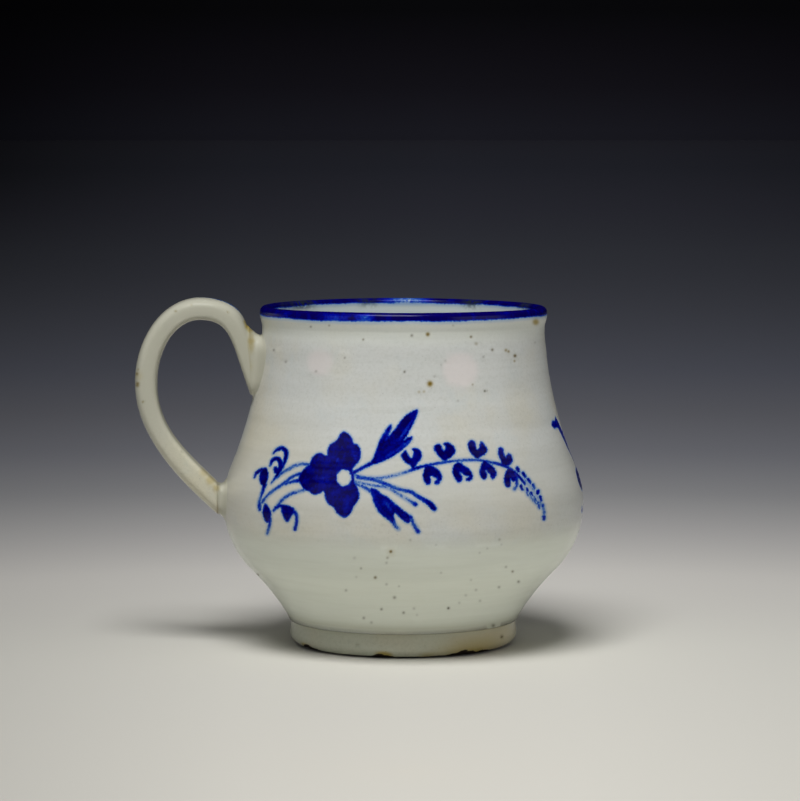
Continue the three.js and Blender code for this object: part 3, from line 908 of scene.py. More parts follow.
def bowl_mesh():
    """The lattice steps of the bowl's points, its faces, and the steps of each face's corners."""
    cells = leaf_cells().tolist()
    corners = {
        ((column + a * size) % ROUND_STEPS, row + b * size)
        for column, row, size in cells for a in (0, 1) for b in (0, 1)
    }
    last_row = ROWS * FINEST
    order = {}
    faces = []
    face_steps = []
    for column, row, size in cells:
        outline = cell_outline(column, row, size, corners)
        face = []
        steps = []
        for step in outline:
            key = (0, step[1]) if step[1] in (0, last_row) else (step[0] % ROUND_STEPS, step[1])
            index = order.setdefault(key, len(order))
            if index not in face:
                face.append(index)
                steps.append(step)
        faces.append(face)
        face_steps.append(steps)
    return np.array(list(order)), faces, face_steps


def bowl_normals(angle, station):
    """Normals of the bowl's skin, from how its places change."""
    turn, climb = 0.0005, 0.01
    round_way = bowl_place(angle + turn, station) - bowl_place(angle - turn, station)
    up_way = bowl_place(angle, station + climb) - bowl_place(angle, station - climb)
    normals = np.cross(round_way, up_way)
    return normals / np.maximum(np.linalg.norm(normals, axis=1), 1e-12)[:, None]


def new_object(name, data):
    made = bpy.data.objects.new(name, data)
    bpy.context.scene.collection.objects.link(made)
    return made


def make_piece(name, places, faces, material, node, fields, normals=None, caps=0):
    """A mesh that rides on the cup in place of one solid. Its last faces are flat caps."""
    mesh = bpy.data.meshes.new(name)
    mesh.from_pydata((np.asarray(places) * METRE).tolist(), [], faces)
    mesh.shade_smooth()
    for polygon in mesh.polygons[len(faces) - caps:]:
        polygon.use_smooth = False
    for field, values in fields.items():
        attribute = mesh.attributes.new(field, "FLOAT", "POINT")
        attribute.data.foreach_set("value", np.asarray(values, np.float32))
    if normals is not None:
        mesh.normals_split_custom_set_from_vertices(normals.tolist())
    mesh.materials.append(material)
    mesh.validate()
    piece = new_object(name, mesh)
    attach(piece, "root")
    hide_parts(node)
    return piece


def grid_faces(rows, columns, closed_rows=False):
    """Quads over a grid of points whose columns close on themselves."""
    faces = []
    for row in range(rows if closed_rows else rows - 1):
        here, above = row * columns, (row + 1) % rows * columns
        for column in range(columns):
            right = (column + 1) % columns
            faces.append((here + column, here + right, above + right, above + column))
    return faces


# Where each band of the bowl lies on its bake: band, first column, last column, low and high edge
BAKE_MARGIN = 0.004
SPLIT_COLUMN = 72  # where the painted band is cut in two strips
BAKE_STRIPS = [
    ("painted", 0, SPLIT_COLUMN, 0.0, 0.225),
    ("painted", SPLIT_COLUMN, COLUMNS, 0.225, 0.45),
    ("lip", 0, COLUMNS, 0.45, 0.56),
    ("neck", 0, COLUMNS, 0.56, 0.66),
    ("lower wall", 0, COLUMNS, 0.66, 0.79),
    ("inside", 0, COLUMNS, 0.79, 0.96),
    ("underside", 0, COLUMNS, 0.96, 1.0),
]


def add_bake_map(mesh, face_steps):
    """Lays the bowl's bands out as strips, so that the painting gets most of the bake."""
    starts = {}
    row = 0
    for band, _, _, rows in BOWL_BANDS:
        starts[band] = (row * FINEST, (row + rows) * FINEST)
        row += rows
    layer = mesh.uv_layers.new(name="OFBake")
    spots = np.zeros((len(mesh.loops), 2))
    for polygon, steps in zip(mesh.polygons, face_steps):
        column = min(step[0] for step in steps) / FINEST
        row = min(step[1] for step in steps)
        band = next(name for name, (low, high) in starts.items() if low <= row < high)
        strip = next(s for s in BAKE_STRIPS if s[0] == band and s[1] <= column < s[2])
        low_row, high_row = starts[band]
        first, last, low, high = strip[1] * FINEST, strip[2] * FINEST, strip[3], strip[4]
        for loop, step in zip(polygon.loop_indices, steps):
            across = (step[0] - first) / (last - first)
            up = (step[1] - low_row) / (high_row - low_row)
            spots[loop] = (
                BAKE_MARGIN + across * (1 - 2 * BAKE_MARGIN),
                low + BAKE_MARGIN + up * (high - low - 2 * BAKE_MARGIN),
            )
    layer.data.foreach_set("uv", spots.astype(np.float32).ravel())


def make_bowl(material):
    steps, faces, face_steps = bowl_mesh()
    angle, station = lattice_angle(steps[:, 0]), lattice_station(steps[:, 1])
    normals = bowl_normals(angle, station)
    normals[steps[:, 1] == 0] = (0, 0, -1)
    normals[steps[:, 1] == ROWS * FINEST] = (0, 0, 1)
    fields = bowl_fields(angle, station)
    del fields["nearest"]
    places = bowl_place(angle, station)
    piece = make_piece("bowl", places, faces, material, "cup_body", fields, normals)
    add_bake_map(piece.data, face_steps)


# The foot ring
FOOT_COLUMNS = 320
FOOT_ROWS = 44
FOOT_SHOULDER = 0.05  # how far the ring's top edge is rounded in, under the glaze line
FOOT_SHOULDER_RUN = 0.5
FOOT_BULGE = 0.22
FOOT_BULGE_HEIGHT, FOOT_BULGE_REACH = 1.7, 2.4
FOOT_SKIN_INNER, FOOT_SKIN_OUTER = 19.0, 21.0  # radii over which the bulge comes in
FOOT_MARKS = 0.6  # of the bowl's hand marks run on over the foot
OUTER_SHARE = 0.6  # of the ring's outline is its outer side

# Stains round the foot's edge, each at degrees round from the front with its half width and amount
RUSTY_EDGE = [
    (37.5, 18, 2.0), (-57, 10, 1.7), (-10, 7, 1.3), (78, 14, 0.5), (-80, 14, 0.5), (95, 12, 0.6),
    (150, 20, 0.8), (230, 14, 0.7),
]
ORANGE_FOOT = [(-60, 9, 1.1), (-10, 7, 1.3), (12, 9, 0.5), (38, 18, 0.6), (158, 20, 0.8), (236, 12, 0.7)]
OLIVE_FOOT = [(37, 32, 1.0), (190, 24, 0.6)]
BEIGE_FOOT = [(62, 44, 1.0), (200, 30, 0.8)]
ORANGE_TOP, ORANGE_FULL = 2.1, 0.6  # heights between which the orange stains fade out, upwards
OLIVE_TOP, OLIVE_FULL = 5.2, 0.8
# The dark line round the bottom of the foot is dirt with a painted contact shadow
DARK_LINE_HEIGHT = 0.36
BARE_HEIGHT = 0.25  # below which the glaze is wiped off
POOLED_RUN = 1.5  # the glaze pools over this height under the bowl


def foot_place(angle, station):
    radius, height = foot_curve(station).T
    outer = smoothstep(radius, FOOT_SKIN_INNER, FOOT_SKIN_OUTER)
    shoulder = FOOT_SHOULDER * (1 - smoothstep(station, 0, FOOT_SHOULDER_RUN))
    radius = radius + outer * (FOOT_BULGE * bump(height, FOOT_BULGE_HEIGHT, FOOT_BULGE_REACH) - shoulder)
    radius = radius + FOOT_MARKS * hand_marks(angle, height)
    return round_the_axis(angle, radius, height)


def foot_fields(angle, station, places):
    height = places[:, 2]
    round_front = round_from_front(angle)
    outer = station < OUTER_SHARE * foot_stations[-1]
    picture = to_picture(places)
    visible = (np.abs(round_front) < SPECKED_FRONT) & outer
    core, halo, _ = picture_specks(picture, visible, FRONT_SPECKS)
    thick = round_sum(round_front, RUSTY_EDGE)
    ragged = 0.12 * np.sin(9 * angle) + 0.1 * np.sin(23 * angle + 1) + 0.06 * np.sin(57 * angle)
    line_top = DARK_LINE_HEIGHT + 0.42 * thick + ragged * (0.4 + thick)
    # The dark line: dirt with a painted contact shadow
    dark = smoothstep(line_top - height, -0.1, 0.12) * np.where(outer, 1, 0.35)
    orange = round_sum(round_front, ORANGE_FOOT) * smoothstep(-height, -ORANGE_TOP, -ORANGE_FULL)
    olive = round_sum(round_front, OLIVE_FOOT) * smoothstep(-height, -OLIVE_TOP, -OLIVE_FULL)
    bare = smoothstep(BARE_HEIGHT - height, -0.1, 0.1)
    return {
        "speck": core,
        "rust": np.clip(halo + orange, 0, 1),
        "olive": np.minimum(olive, 1),
        "grime_and_shadow": dark,
        "bare": bare,
        "beige": np.minimum(round_sum(round_front, BEIGE_FOOT), 1),
        "pooled": smoothstep(height, FOOT_HEIGHT - POOLED_RUN, FOOT_HEIGHT) * outer,
    }


def make_foot(material):
    angles = 2 * math.pi * np.arange(FOOT_COLUMNS) / FOOT_COLUMNS
    stations = foot_stations[-1] * np.linspace(0, 1, FOOT_ROWS)
    station, angle = (grid.ravel() for grid in np.meshgrid(stations, angles, indexing="ij"))
    places = foot_place(angle, station)
    faces = [face[::-1] for face in grid_faces(FOOT_ROWS, FOOT_COLUMNS, closed_rows=True)]
    fields = foot_fields(angle, station, places)
    make_piece("foot", places, faces, material, "foot_ring", fields)


# The strap handle: its middle line, out from the cup's axis and up
handle_low, handle_high = node_box("handle")
STRAP_THICKNESS = 4.0
BOW_BELOW_RIM = 15
CROWN_OUT = 39.5
BOW_TO_CROWN_ROUNDNESS = 0.55
CROWN_RUN = 6
UPPER_DROP_RUN = 7.5
LOWER_RISE_RUN = 10
BOW_LOWER_RUN = 9
UPPER_CUT = -(handle_high[0] - AXIS[0])  # at the handle's upper end
LOWER_CUT = 36.2
UPPER_JOINT_HEIGHT = 54.5
LOWER_JOINT_HEIGHT = 28.6
UPPER_LEAN = math.radians(20)
LOWER_LEAN = math.radians(47)
CURVE_STEPS = 60  # along each of the line's three curves

# The strap's section, which changes along the line
STRAP_SECTIONS = 150
STRAP_POINTS = 56
STRAP_ROUNDNESS = 3.4  # exponent of the section's outer half: 2 is an ellipse, more is boxier
STRAP_INNER_ROUNDNESS = 5.0
STRAP_HALF_WIDTH = 4.35
STRAP_WIDENING = 0.35  # how much more that is at the upper end
STRAP_HALF_THICKNESS = 1.95
LOWER_SWELL = 0.22  # how much thicker each half is at the lower end
CROWN_SWELL = 0.07
STRAP_CROWNING = 0.08  # how far the outer face swells along its middle, as a share
UPPER_FLARE = 0.33  # how much thicker the outer side gets where the strap meets the neck
UPPER_FLARE_RUN = 2.2
BOW_FILLING = 0.26  # how much thicker the inner side gets round the bow
UPPER_SKEW_RUN = 17  # over this length the sections lean over until the cut end is upright
LOWER_SKEW_RUN = 9
END_PINCH, PINCH_RUN = 0.04, 0.7  # how much slimmer the lower end is, and over what length
WIDTH_WAVER, THICKNESS_WAVER, SIDE_WAVER = 0.06, 0.03, 0.15  # how unevenly the hand pulled it

# Specks and soft stains of the handle, in pixels as above
HANDLE_SPECKS = [
    (137.5, 384.5, 2.0, 0.6, 0.7), (137, 374, 1.6, 0.4, 0.6), (138, 370, 1.2, 0.3, 0.5),
    (143, 402, 1.3, 0.3, 0.5), (176, 311, 1.3, 0.25, 0.5), (191, 305, 1.2, 0.2, 0.5),
    (228, 312, 1.2, 0.25, 0.5), (160, 455, 1.2, 0.3, 0.4), (182, 452, 1.1, 0.25, 0.1),
]
HANDLE_STAINS = [
    (246, 322, 3, 0.8), (248, 326, 3.5, 1.0), (250, 330, 3, 0.8), (251, 336, 3.5, 0.5), (251, 341, 4, 0.7),
    (251, 347, 4, 0.55), (250.5, 353, 3.5, 0.35), (250, 367, 3.5, 0.35),
    (205, 472, 6, 0.5), (211, 480, 6, 0.6), (216, 488, 4, 0.6), (138, 376, 6, 0.35),
]
STAINED_SIDE = 1.5  # the stains end this far across the strap, beyond its middle
SEAM_TOP = 35  # above this height the joints' seams are clean
SEAM_DIRTY, SEAM_DIRTIEST = 28.4, 26.6  # the dirt grows downwards between these heights

# A brush dab on the strap's outer face, in millimetres on from the crown and across to the far side
HANDLE_DAB = drawing([
    stroke(
        (-2.5, 2.4, 0.5, 0.25), (1.0, 1.7, 0.9, 0.32), (4.5, 0.7, 1.7, 0.4), (8.0, 0.4, 2.0, 0.42),
        (11.0, 1.2, 1.3, 0.35), (13.0, 2.3, 0.6, 0.25),
    ),
])
DABBED_FACE = 0.3  # the share of the half thickness above which the dab covers the strap


def bezier(a, b, c, d, steps):
    t = np.linspace(0, 1, steps + 1)[:, None]
    a, b, c, d = (np.array(point, float) for point in (a, b, c, d))
    return a * (1 - t) ** 3 + 3 * b * t * (1 - t) ** 2 + 3 * c * t**2 * (1 - t) + d * t**3


def handle_line():
    """The strap's middle line from its lower cut to its upper one, as (out from the axis, height)."""
    half = STRAP_THICKNESS / 2
    bow = np.array([AXIS[0] - handle_low[0] - half, RIM_HEIGHT - BOW_BELOW_RIM])
    crown = np.array([CROWN_OUT, handle_high[2] - half])
    lower = np.array([LOWER_CUT, LOWER_JOINT_HEIGHT])
    upper = np.array([UPPER_CUT, UPPER_JOINT_HEIGHT])
    away_low = np.array([math.sin(LOWER_LEAN), math.cos(LOWER_LEAN)])
    away_high = np.array([math.sin(UPPER_LEAN), math.cos(UPPER_LEAN)])
    round_out = BOW_TO_CROWN_ROUNDNESS * (bow[0] - crown[0])
    round_up = BOW_TO_CROWN_ROUNDNESS * (crown[1] - bow[1])
    first_pull = lower + LOWER_RISE_RUN * away_low
    rise = bezier(lower, first_pull, bow - (0, BOW_LOWER_RUN), bow, CURVE_STEPS)
    over = bezier(bow, bow + (0, round_up), crown + (round_out, 0), crown, CURVE_STEPS)
    last_pull = upper + UPPER_DROP_RUN * away_high
    drop = bezier(crown, crown - (CROWN_RUN, 0), last_pull, upper, CURVE_STEPS)
    line = np.vstack([rise, over[1:], drop[1:]])
    run = np.concatenate([[0], np.cumsum(np.hypot(*np.diff(line, axis=0).T))])
    even = np.linspace(0, run[-1], STRAP_SECTIONS)
    return even, np.stack([np.interp(even, run, column) for column in line.T], axis=-1)


def rounded_section(points, exponent, inner_exponent):
    """A boxy oval of unit half sizes, with its own exponent for the inner half."""
    turns = 2 * math.pi * np.arange(points) / points
    across, out = np.cos(turns), np.sin(turns)
    power = 2 / np.where(out < 0, inner_exponent, exponent)
    return np.sign(across) * np.abs(across) ** power, np.sign(out) * np.abs(out) ** power


def point_normals(piece):
    normals = np.zeros(3 * len(piece.data.vertices))
    piece.data.vertex_normals.foreach_get("vector", normals)
    return normals.reshape(-1, 3)


def seam_strength(places):
    """Dirt gathers along the lower joint's seam, most of all at its foot."""
    height = places[:, 2]
    low = smoothstep(-height, -SEAM_DIRTY, -SEAM_DIRTIEST)
    return np.where(height > SEAM_TOP, 0, 0.2 + 0.8 * low)


def tube_faces(rings):
    """Quads along rings of the strap's points, and then the two end caps."""
    last = rings * STRAP_POINTS
    caps = [tuple(range(STRAP_POINTS - 1, -1, -1)), tuple(range(last - STRAP_POINTS, last))]
    return grid_faces(rings, STRAP_POINTS) + caps


def strap_skin(run, line, rows):
    """The strap's points ring by ring, with how far across and how far out of its middle each lies."""
    share = run / run[-1]
    ahead = np.gradient(line, axis=0)
    ahead /= np.linalg.norm(ahead, axis=1)[:, None]
    outward = np.stack([ahead[:, 1], -ahead[:, 0]], axis=-1)
    skew_low = -outward[0, 0] / ahead[0, 0]
    skew_high = -outward[-1, 0] / ahead[-1, 0]
    skew = skew_low * (1 - smoothstep(run, 0, LOWER_SKEW_RUN))
    skew = skew + skew_high * smoothstep(run, run[-1] - UPPER_SKEW_RUN, run[-1])
    half_width = STRAP_HALF_WIDTH + STRAP_WIDENING * share + WIDTH_WAVER * np.sin(9 * share + 1)
    swell = LOWER_SWELL * (1 - smoothstep(share, 0, 0.3)) + CROWN_SWELL * bump(share, 0.72, 0.2)
    half_thick = STRAP_HALF_THICKNESS + swell + THICKNESS_WAVER * np.sin(17 * share)
    pinch = 1 - END_PINCH * bump(run, 0, PINCH_RUN)
    flare = UPPER_FLARE * smoothstep(run, run[-1] - UPPER_FLARE_RUN, run[-1])
    filling = BOW_FILLING * bump(share, 0.48, 0.25)
    across, out = rounded_section(STRAP_POINTS, STRAP_ROUNDNESS, STRAP_INNER_ROUNDNESS)
    crowned = out + STRAP_CROWNING * np.maximum(out, 0) * (1 - across**2)
    across, crowned = np.tile(across, STRAP_SECTIONS), np.tile(crowned, STRAP_SECTIONS)
    thick = crowned * (half_thick * pinch)[rows]
    thick = thick + np.maximum(crowned, 0) * flare[rows] + np.minimum(crowned, 0) * filling[rows]
    spot = line[rows] + thick[:, None] * (outward[rows] + skew[rows, None] * ahead[rows])
    sideways = across * (half_width * pinch)[rows]
    sideways = sideways + (SIDE_WAVER * (1 - share) * np.sin(5 * share))[rows]
    return AXIS + np.stack([-spot[:, 0], sideways, spot[:, 1]], axis=-1), sideways, crowned


def make_handle(material):
    """The strap. Gives back the points and the normals of its lower and of its upper end."""
    run, line = handle_line()
    rows = np.repeat(np.arange(STRAP_SECTIONS), STRAP_POINTS)
    places, sideways, crowned = strap_skin(run, line, rows)
    picture = to_picture(places)
    stained = places[:, 1] < STAINED_SIDE
    core, halo, _ = picture_specks(picture, stained, HANDLE_SPECKS)
    crown_run = run[np.argmax(line[:, 1])]
    paint, strength = drawn(HANDLE_DAB, np.stack([run[rows] - crown_run, sideways], axis=-1))
    fields = {
        # Shade painted onto the strap from a little above its lower end upwards; the lower end stays
        # lighter where the floor lights it
        "painted_strap_shade": smoothstep(run / run[-1], 0.08, 0.4)[rows],
        "paint": np.where(crowned > DABBED_FACE, paint, NOWHERE),
        "strength": strength,
        "speck": core,
        "rust": np.maximum(halo, picture_spots(picture, stained, HANDLE_STAINS, 0.7)),
        "crease": np.exp(-run[rows] / 0.35) * seam_strength(places),
    }
    faces = tube_faces(STRAP_SECTIONS)
    piece = make_piece("strap_handle", places, faces, material, "handle", fields, caps=2)
    normals = point_normals(piece).reshape(STRAP_SECTIONS, STRAP_POINTS, 3)
    return (places[:STRAP_POINTS], normals[1]), (places[-STRAP_POINTS:], normals[-2])


# The slip that joins the handle's ends to the wall
SLIP_STEPS = 18
SLIP_SINK = 0.25  # how far the slip's last ring lies inside the wall
SLIP_BLEND = 0.45  # share of the fillet over which the strap's normals run out
SLIP_OVERLAP = 1.004  # how much wider the slip starts than the strap ends
SLIP_ROUNDNESS = 2.3  # exponent of its outline on the wall
SLIP_WALL_RADIUS = 30  # of the wall at the joints, nearly enough to find the angle of a point


def slip_skin(ring, up_side, far, narrowing, dip):
    """The slip's points ring by ring, from a cut end's ring out to the wall."""
    cut = -ring[:, 0].mean()
    middle = (ring[:, 2].min() + ring[:, 2].max()) / 2
    near_y = ring[:, 1] * SLIP_OVERLAP
    near_z = middle + (ring[:, 2] - middle) * SLIP_OVERLAP
    wall_across, wall_out = rounded_section(STRAP_POINTS, SLIP_ROUNDNESS, SLIP_ROUNDNESS)
    wall_up = wall_out * up_side
    far_y = far[0] * wall_across * (1 + narrowing * wall_up)
    far_z = (far[1] + far[2]) / 2 + (far[2] - far[1]) / 2 * wall_up
    up = np.maximum((near_z - middle) / (near_z.max() - middle), 0)
    rings = []
    for step in range(SLIP_STEPS + 1):
        share = step / SLIP_STEPS
        spread = 1 - math.cos(share * math.pi / 2)
        reach = math.sin(share * math.pi / 2)
        y = (1 - spread) * near_y + spread * far_y
        z = (1 - spread) * near_z + spread * far_z - dip * up**2 * math.sin(share * math.pi)
        angle = np.pi - np.arcsin(np.clip(y / SLIP_WALL_RADIUS, -1, 1))
        radius = wall_radius(angle, z) - SLIP_SINK * smoothstep(share, 0.8, 1.0)
        wall = np.sqrt(radius**2 - y**2)
        rings.append(np.stack([-(cut + (wall - cut) * reach), y, z], axis=-1))
    return AXIS + np.concatenate(rings)


def make_slip(name, node, material, end, up_side, far, narrowing, dip):
    """A fillet from the outline of the handle's cut end out to a wider outline on the wall.

    The far outline is (half width, lowest, highest). It narrows downwards, and the fillet's top edge
    dips on its way. The strap's outer half is the end's upper half where up_side is 1. The end's own
    normals run on into the fillet, so that no edge shows between the two.
    """
    end_places, end_normals = end
    places = slip_skin(end_places - AXIS, up_side, far, narrowing, dip)
    faces = tube_faces(SLIP_STEPS + 1)
    if up_side < 0:
        faces = [face[::-1] for face in faces]
    shares = np.repeat(np.arange(SLIP_STEPS + 1) / SLIP_STEPS, STRAP_POINTS)
    stained = places[:, 1] < STAINED_SIDE
    fields = {
        "crease": np.exp(-shares / 0.07) * seam_strength(places),
        "rust": picture_spots(to_picture(places), stained, HANDLE_STAINS, 0.7),
    }
    piece = make_piece(name, places, faces, material, node, fields, caps=2)
    own = smoothstep(shares, 0, SLIP_BLEND)[:, None]
    normals = own * point_normals(piece) + (1 - own) * np.tile(end_normals, (SLIP_STEPS + 1, 1))
    normals /= np.linalg.norm(normals, axis=1)[:, None]
    piece.data.normals_split_custom_set_from_vertices(normals.tolist())


# Materials

class Nodes:
    """Builds a tree of shader nodes, one call for each."""

    def __init__(self, tree):
        self.tree = tree
        tree.nodes.clear()

    def feed(self, socket, value):
        if isinstance(value, bpy.types.NodeSocket):
            self.tree.links.new(value, socket)
        else:
            socket.default_value = value

    def add(self, kind, settings=None, **inputs):
        node = self.tree.nodes.new("ShaderNode" + kind)
        for key, value in (settings or {}).items():
            setattr(node, key, value)
        for key, value in inputs.items():
            self.feed(node.inputs[key.replace("_", " ")], value)
        return node

    def math(self, operation, *values, clamp=False):
        node = self.add("Math", {"operation": operation, "use_clamp": clamp})
        for socket, value in zip(node.inputs, values):
            self.feed(socket, value)
        return node.outputs[0]

    def mix(self, share, a, b, blend="MIX"):
        node = self.add("Mix", {"data_type": "RGBA", "blend_type": blend})
        for socket, value in ((node.inputs[0], share), (node.inputs[6], a), (node.inputs[7], b)):
            self.feed(socket, value)
        return node.outputs[2]

    def ranged(self, value, low, high, to_low=0.0, to_high=1.0):
        node = self.add("MapRange", {"interpolation_type": "SMOOTHSTEP"}, Value=value)
        for socket, number in zip(node.inputs[1:5], (low, high, to_low, to_high)):
            socket.default_value = number
        return node.outputs[0]

    def noise(self, size, detail=2.0, roughness=0.5, stretch=(1, 1, 1)):
        """Noise of about 0 to 1 with features of a size in millimetres."""
        place = self.add("TexCoord").outputs["Object"]
        if stretch != (1, 1, 1):
            scaled = self.add("Mapping", Vector=place)
            scaled.inputs["Scale"].default_value = stretch
            place = scaled.outputs[0]
        node = self.add(
            "TexNoise", Vector=place, Scale=1 / (size * METRE), Detail=detail, Roughness=roughness,
        )
        return node.outputs[0]

    def field(self, name, share=None):
        """A value painted into the mesh, or a share of it."""
        value = self.add("Attribute", {"attribute_name": name}).outputs["Fac"]
        return value if share is None else self.math("MULTIPLY", value, share)

    def ramp(self, value, *stops):
        node = self.add("ValToRGB", Fac=value)
        elements = node.color_ramp.elements
        while len(elements) < len(stops):
            elements.new(0.5)
        for element, (at, color) in zip(elements, stops):
            element.position = at
            element.color = color if len(color) == 4 else (*color, 1)
        return node.outputs[0]


def written(red, green, blue):
    """A colour as it looks on a screen, 0 to 255, as the value that a shader takes."""
    def linear(level):
        share = level / 255
        return share / 12.92 if share <= 0.04045 else ((share + 0.055) / 1.055) ** 2.4
    return (linear(red), linear(green), linear(blue), 1.0)


CREAM = written(205, 207, 203)
CREAM_WARM = written(206, 203, 188)
CREAM_COOL = written(200, 205, 203)
HANDLE_CREAM = written(203, 201, 185)
HANDLE_WARM = written(209, 204, 180)
HANDLE_COOL = written(202, 204, 190)
PAINTED_HANDLE_SHADE = written(182, 181, 165)
FOOT_CREAM = written(187, 189, 172)
FOOT_WARM = written(192, 187, 165)
FOOT_COOL = written(183, 189, 176)
FOOT_BEIGE = written(194, 184, 152)
FOOT_OLIVE = written(164, 146, 84)
POOLED_BLUE = written(178, 189, 189)
REFLECTION_PINK = written(219, 211, 208)
TEA = written(206, 199, 174)
PAINTED_LIGHT_GREENISH = written(226, 230, 218)
BELT_SHADE = written(188, 188, 180)
GREY_GREEN = written(172, 173, 152)
IRON = written(62, 57, 24)
RUSTY_IRON = written(102, 78, 0)
OCHRE = written(164, 142, 52)
GRIME_AND_SHADOW = written(26, 17, 8)
BARE_CLAY = written(176, 158, 126)
STAINED_CLAY = written(140, 116, 84)
SEAM_DIRT = written(140, 112, 62)
SLIP_DIRT = written(150, 126, 84)
SCORCH = written(34, 40, 38)
GLAZE_ROUGHNESS = 0.2
GLAZE_SPECULAR = 0.13
GLAZE_RELIEF = 0.000012  # how deep the glaze's unevenness looks, in metres

# What cobalt lets through: how thick it lies, then the shares of red, green and blue
COBALT_WASH = [
    (0.0, (1, 1, 1)), (0.12, (0.70, 0.79, 0.98)), (0.24, (0.375, 0.54, 0.94)),
    (0.38, (0.14, 0.31, 0.86)), (0.5, (0.045, 0.17, 0.76)), (0.64, (0.01, 0.07, 0.72)),
    (0.76, (0.001, 0.018, 0.64)), (0.87, (0.0, 0.003, 0.46)), (0.95, (0.0, 0.0, 0.28)),
    (1.0, (0.003, 0.0, 0.15)),
]


def start_material(name):
    material = bpy.data.materials.new(name)
    material.use_nodes = True
    return material, Nodes(material.node_tree)


def glaze_color(nodes, base=CREAM, warm=CREAM_WARM, cool=CREAM_COOL):
    """The glaze before anything is painted on it: cloudy, a little grainy, with pinholes of grey."""
    clouds = nodes.noise(16, detail=3)
    patches = nodes.noise(5, detail=4, roughness=0.6)
    grain = nodes.noise(0.55, detail=3, roughness=0.65)
    color = nodes.mix(nodes.ranged(clouds, 0.42, 0.68, 0, 0.75), base, warm)
    color = nodes.mix(nodes.ranged(patches, 0.5, 0.75, 0, 0.6), color, cool)
    shade = nodes.ramp(grain, (0.3, (0.90, 0.90, 0.885)), (0.55, (1, 1, 1)))
    color = nodes.mix(0.8, color, shade, "MULTIPLY")
    dust = nodes.noise(0.32, detail=1)
    color = nodes.mix(nodes.ranged(dust, 0.74, 0.8, 0, 0.35), color, IRON)
    return color


def tinted(nodes, color, *tints):
    """A colour with others laid over it, each where its field says and at most by its share."""
    for field, share, tint in tints:
        color = nodes.mix(nodes.field(field, share), color, tint)
    return color


def with_specks(nodes, color):
    """Iron that has burnt through the glaze."""
    color = nodes.mix(nodes.ranged(nodes.field("rust"), 0.05, 1.0, 0, 0.85), color, OCHRE)
    core = nodes.mix(nodes.field("rust"), IRON, RUSTY_IRON)
    return nodes.mix(nodes.math("MINIMUM", nodes.field("speck"), 0.92), color, core)


def finish_glaze(nodes, color, roughness=None):
    """The glossy skin over a colour, slightly uneven like fired glaze."""
    skin = nodes.noise(1.6, detail=2)
    swell = nodes.noise(7, detail=2)
    height = nodes.math("MULTIPLY_ADD", skin, 0.25, swell)
    uneven = nodes.add("Bump", Height=height, Strength=1.0, Distance=GLAZE_RELIEF)
    if roughness is None:
        smooth_to_matt = GLAZE_ROUGHNESS - 0.03, GLAZE_ROUGHNESS + 0.06
        roughness = nodes.ranged(nodes.noise(9, detail=4), 0.3, 0.7, *smooth_to_matt)
    surface = nodes.add(
        "BsdfPrincipled", Base_Color=color, Roughness=roughness, IOR=1.48,
        Specular_IOR_Level=GLAZE_SPECULAR, Normal=uneven.outputs[0],
    )
    nodes.add("OutputMaterial", Surface=surface.outputs[0])


def cobalt(nodes, density, color):
    """Cobalt over the glaze: a thin wash tints it and a thick one is navy."""
    return nodes.mix(1.0, color, nodes.ramp(density, *COBALT_WASH), "MULTIPLY")


def cobalt_density(nodes, depth_field, strength_field, bleed):
    """How thick the cobalt lies, from the depth inside a mark: ragged, grainy and a little blurred."""
    depth, strength = nodes.field(depth_field), nodes.field(strength_field)
    ragged = nodes.noise(0.42, detail=2)
    grain = nodes.noise(0.5, detail=3, roughness=0.7)
    flow = nodes.noise(1.8, detail=4, roughness=0.6)
    edge = nodes.math("MULTIPLY_ADD", nodes.math("SUBTRACT", ragged, 0.5), 0.45, depth)
    covered = nodes.ranged(edge, -0.3, 0.27)
    thin = nodes.math("SUBTRACT", 1.05, strength)
    mottle = nodes.math("MULTIPLY", nodes.math("SUBTRACT", grain, 0.5), thin)
    flowing = nodes.math("MULTIPLY_ADD", nodes.math("SUBTRACT", flow, 0.5), 0.42, strength)
    thick = nodes.math("MULTIPLY_ADD", mottle, 2.6, flowing)
    body = nodes.math("MULTIPLY", covered, thick, clamp=True)
    haze = nodes.ranged(depth, -bleed, 0.05, 0, 0.2)
    return nodes.math("MAXIMUM", body, haze)


def bowl_material():
    material, nodes = start_material("bowl_glaze")
    # Painted light makes the lower belly and the top of the neck paler; painted shade darkens a belt round
    # the belly and the corner over the foot
    color = tinted(
        nodes, glaze_color(nodes), ("warmth", 1, TEA), ("low", 1, PAINTED_LIGHT_GREENISH), ("painted_belt_shade", 0.6, BELT_SHADE),
        ("neck", 0.5, PAINTED_LIGHT_GREENISH), ("joint", 0.7, GREY_GREEN), ("inside", 0.85, POOLED_BLUE),
    )
    streaks = nodes.noise(3, detail=3, roughness=0.6, stretch=(0.25, 0.25, 3))
    shade = nodes.ramp(streaks, (0.32, (0.93, 0.93, 0.915)), (0.6, (1, 1, 1)))
    color = nodes.mix(0.5, color, shade, "MULTIPLY")
    # Pink discs painted in as reflections of round lamps
    color = nodes.mix(nodes.ranged(nodes.field("painted_reflection"), 0, 1, 0, 0.68), color, REFLECTION_PINK)
    color = with_specks(nodes, color)
    painted = cobalt_density(nodes, "paint", "strength", 0.6)
    rim = cobalt_density(nodes, "rim", "rim_strength", 0.9)
    color = cobalt(nodes, nodes.math("MAXIMUM", painted, rim), color)
    patchy = nodes.ranged(nodes.noise(0.9, detail=3), 0.35, 0.55)
    color = nodes.mix(nodes.field("scorch", patchy), color, SCORCH)
    finish_glaze(nodes, color)
    return material


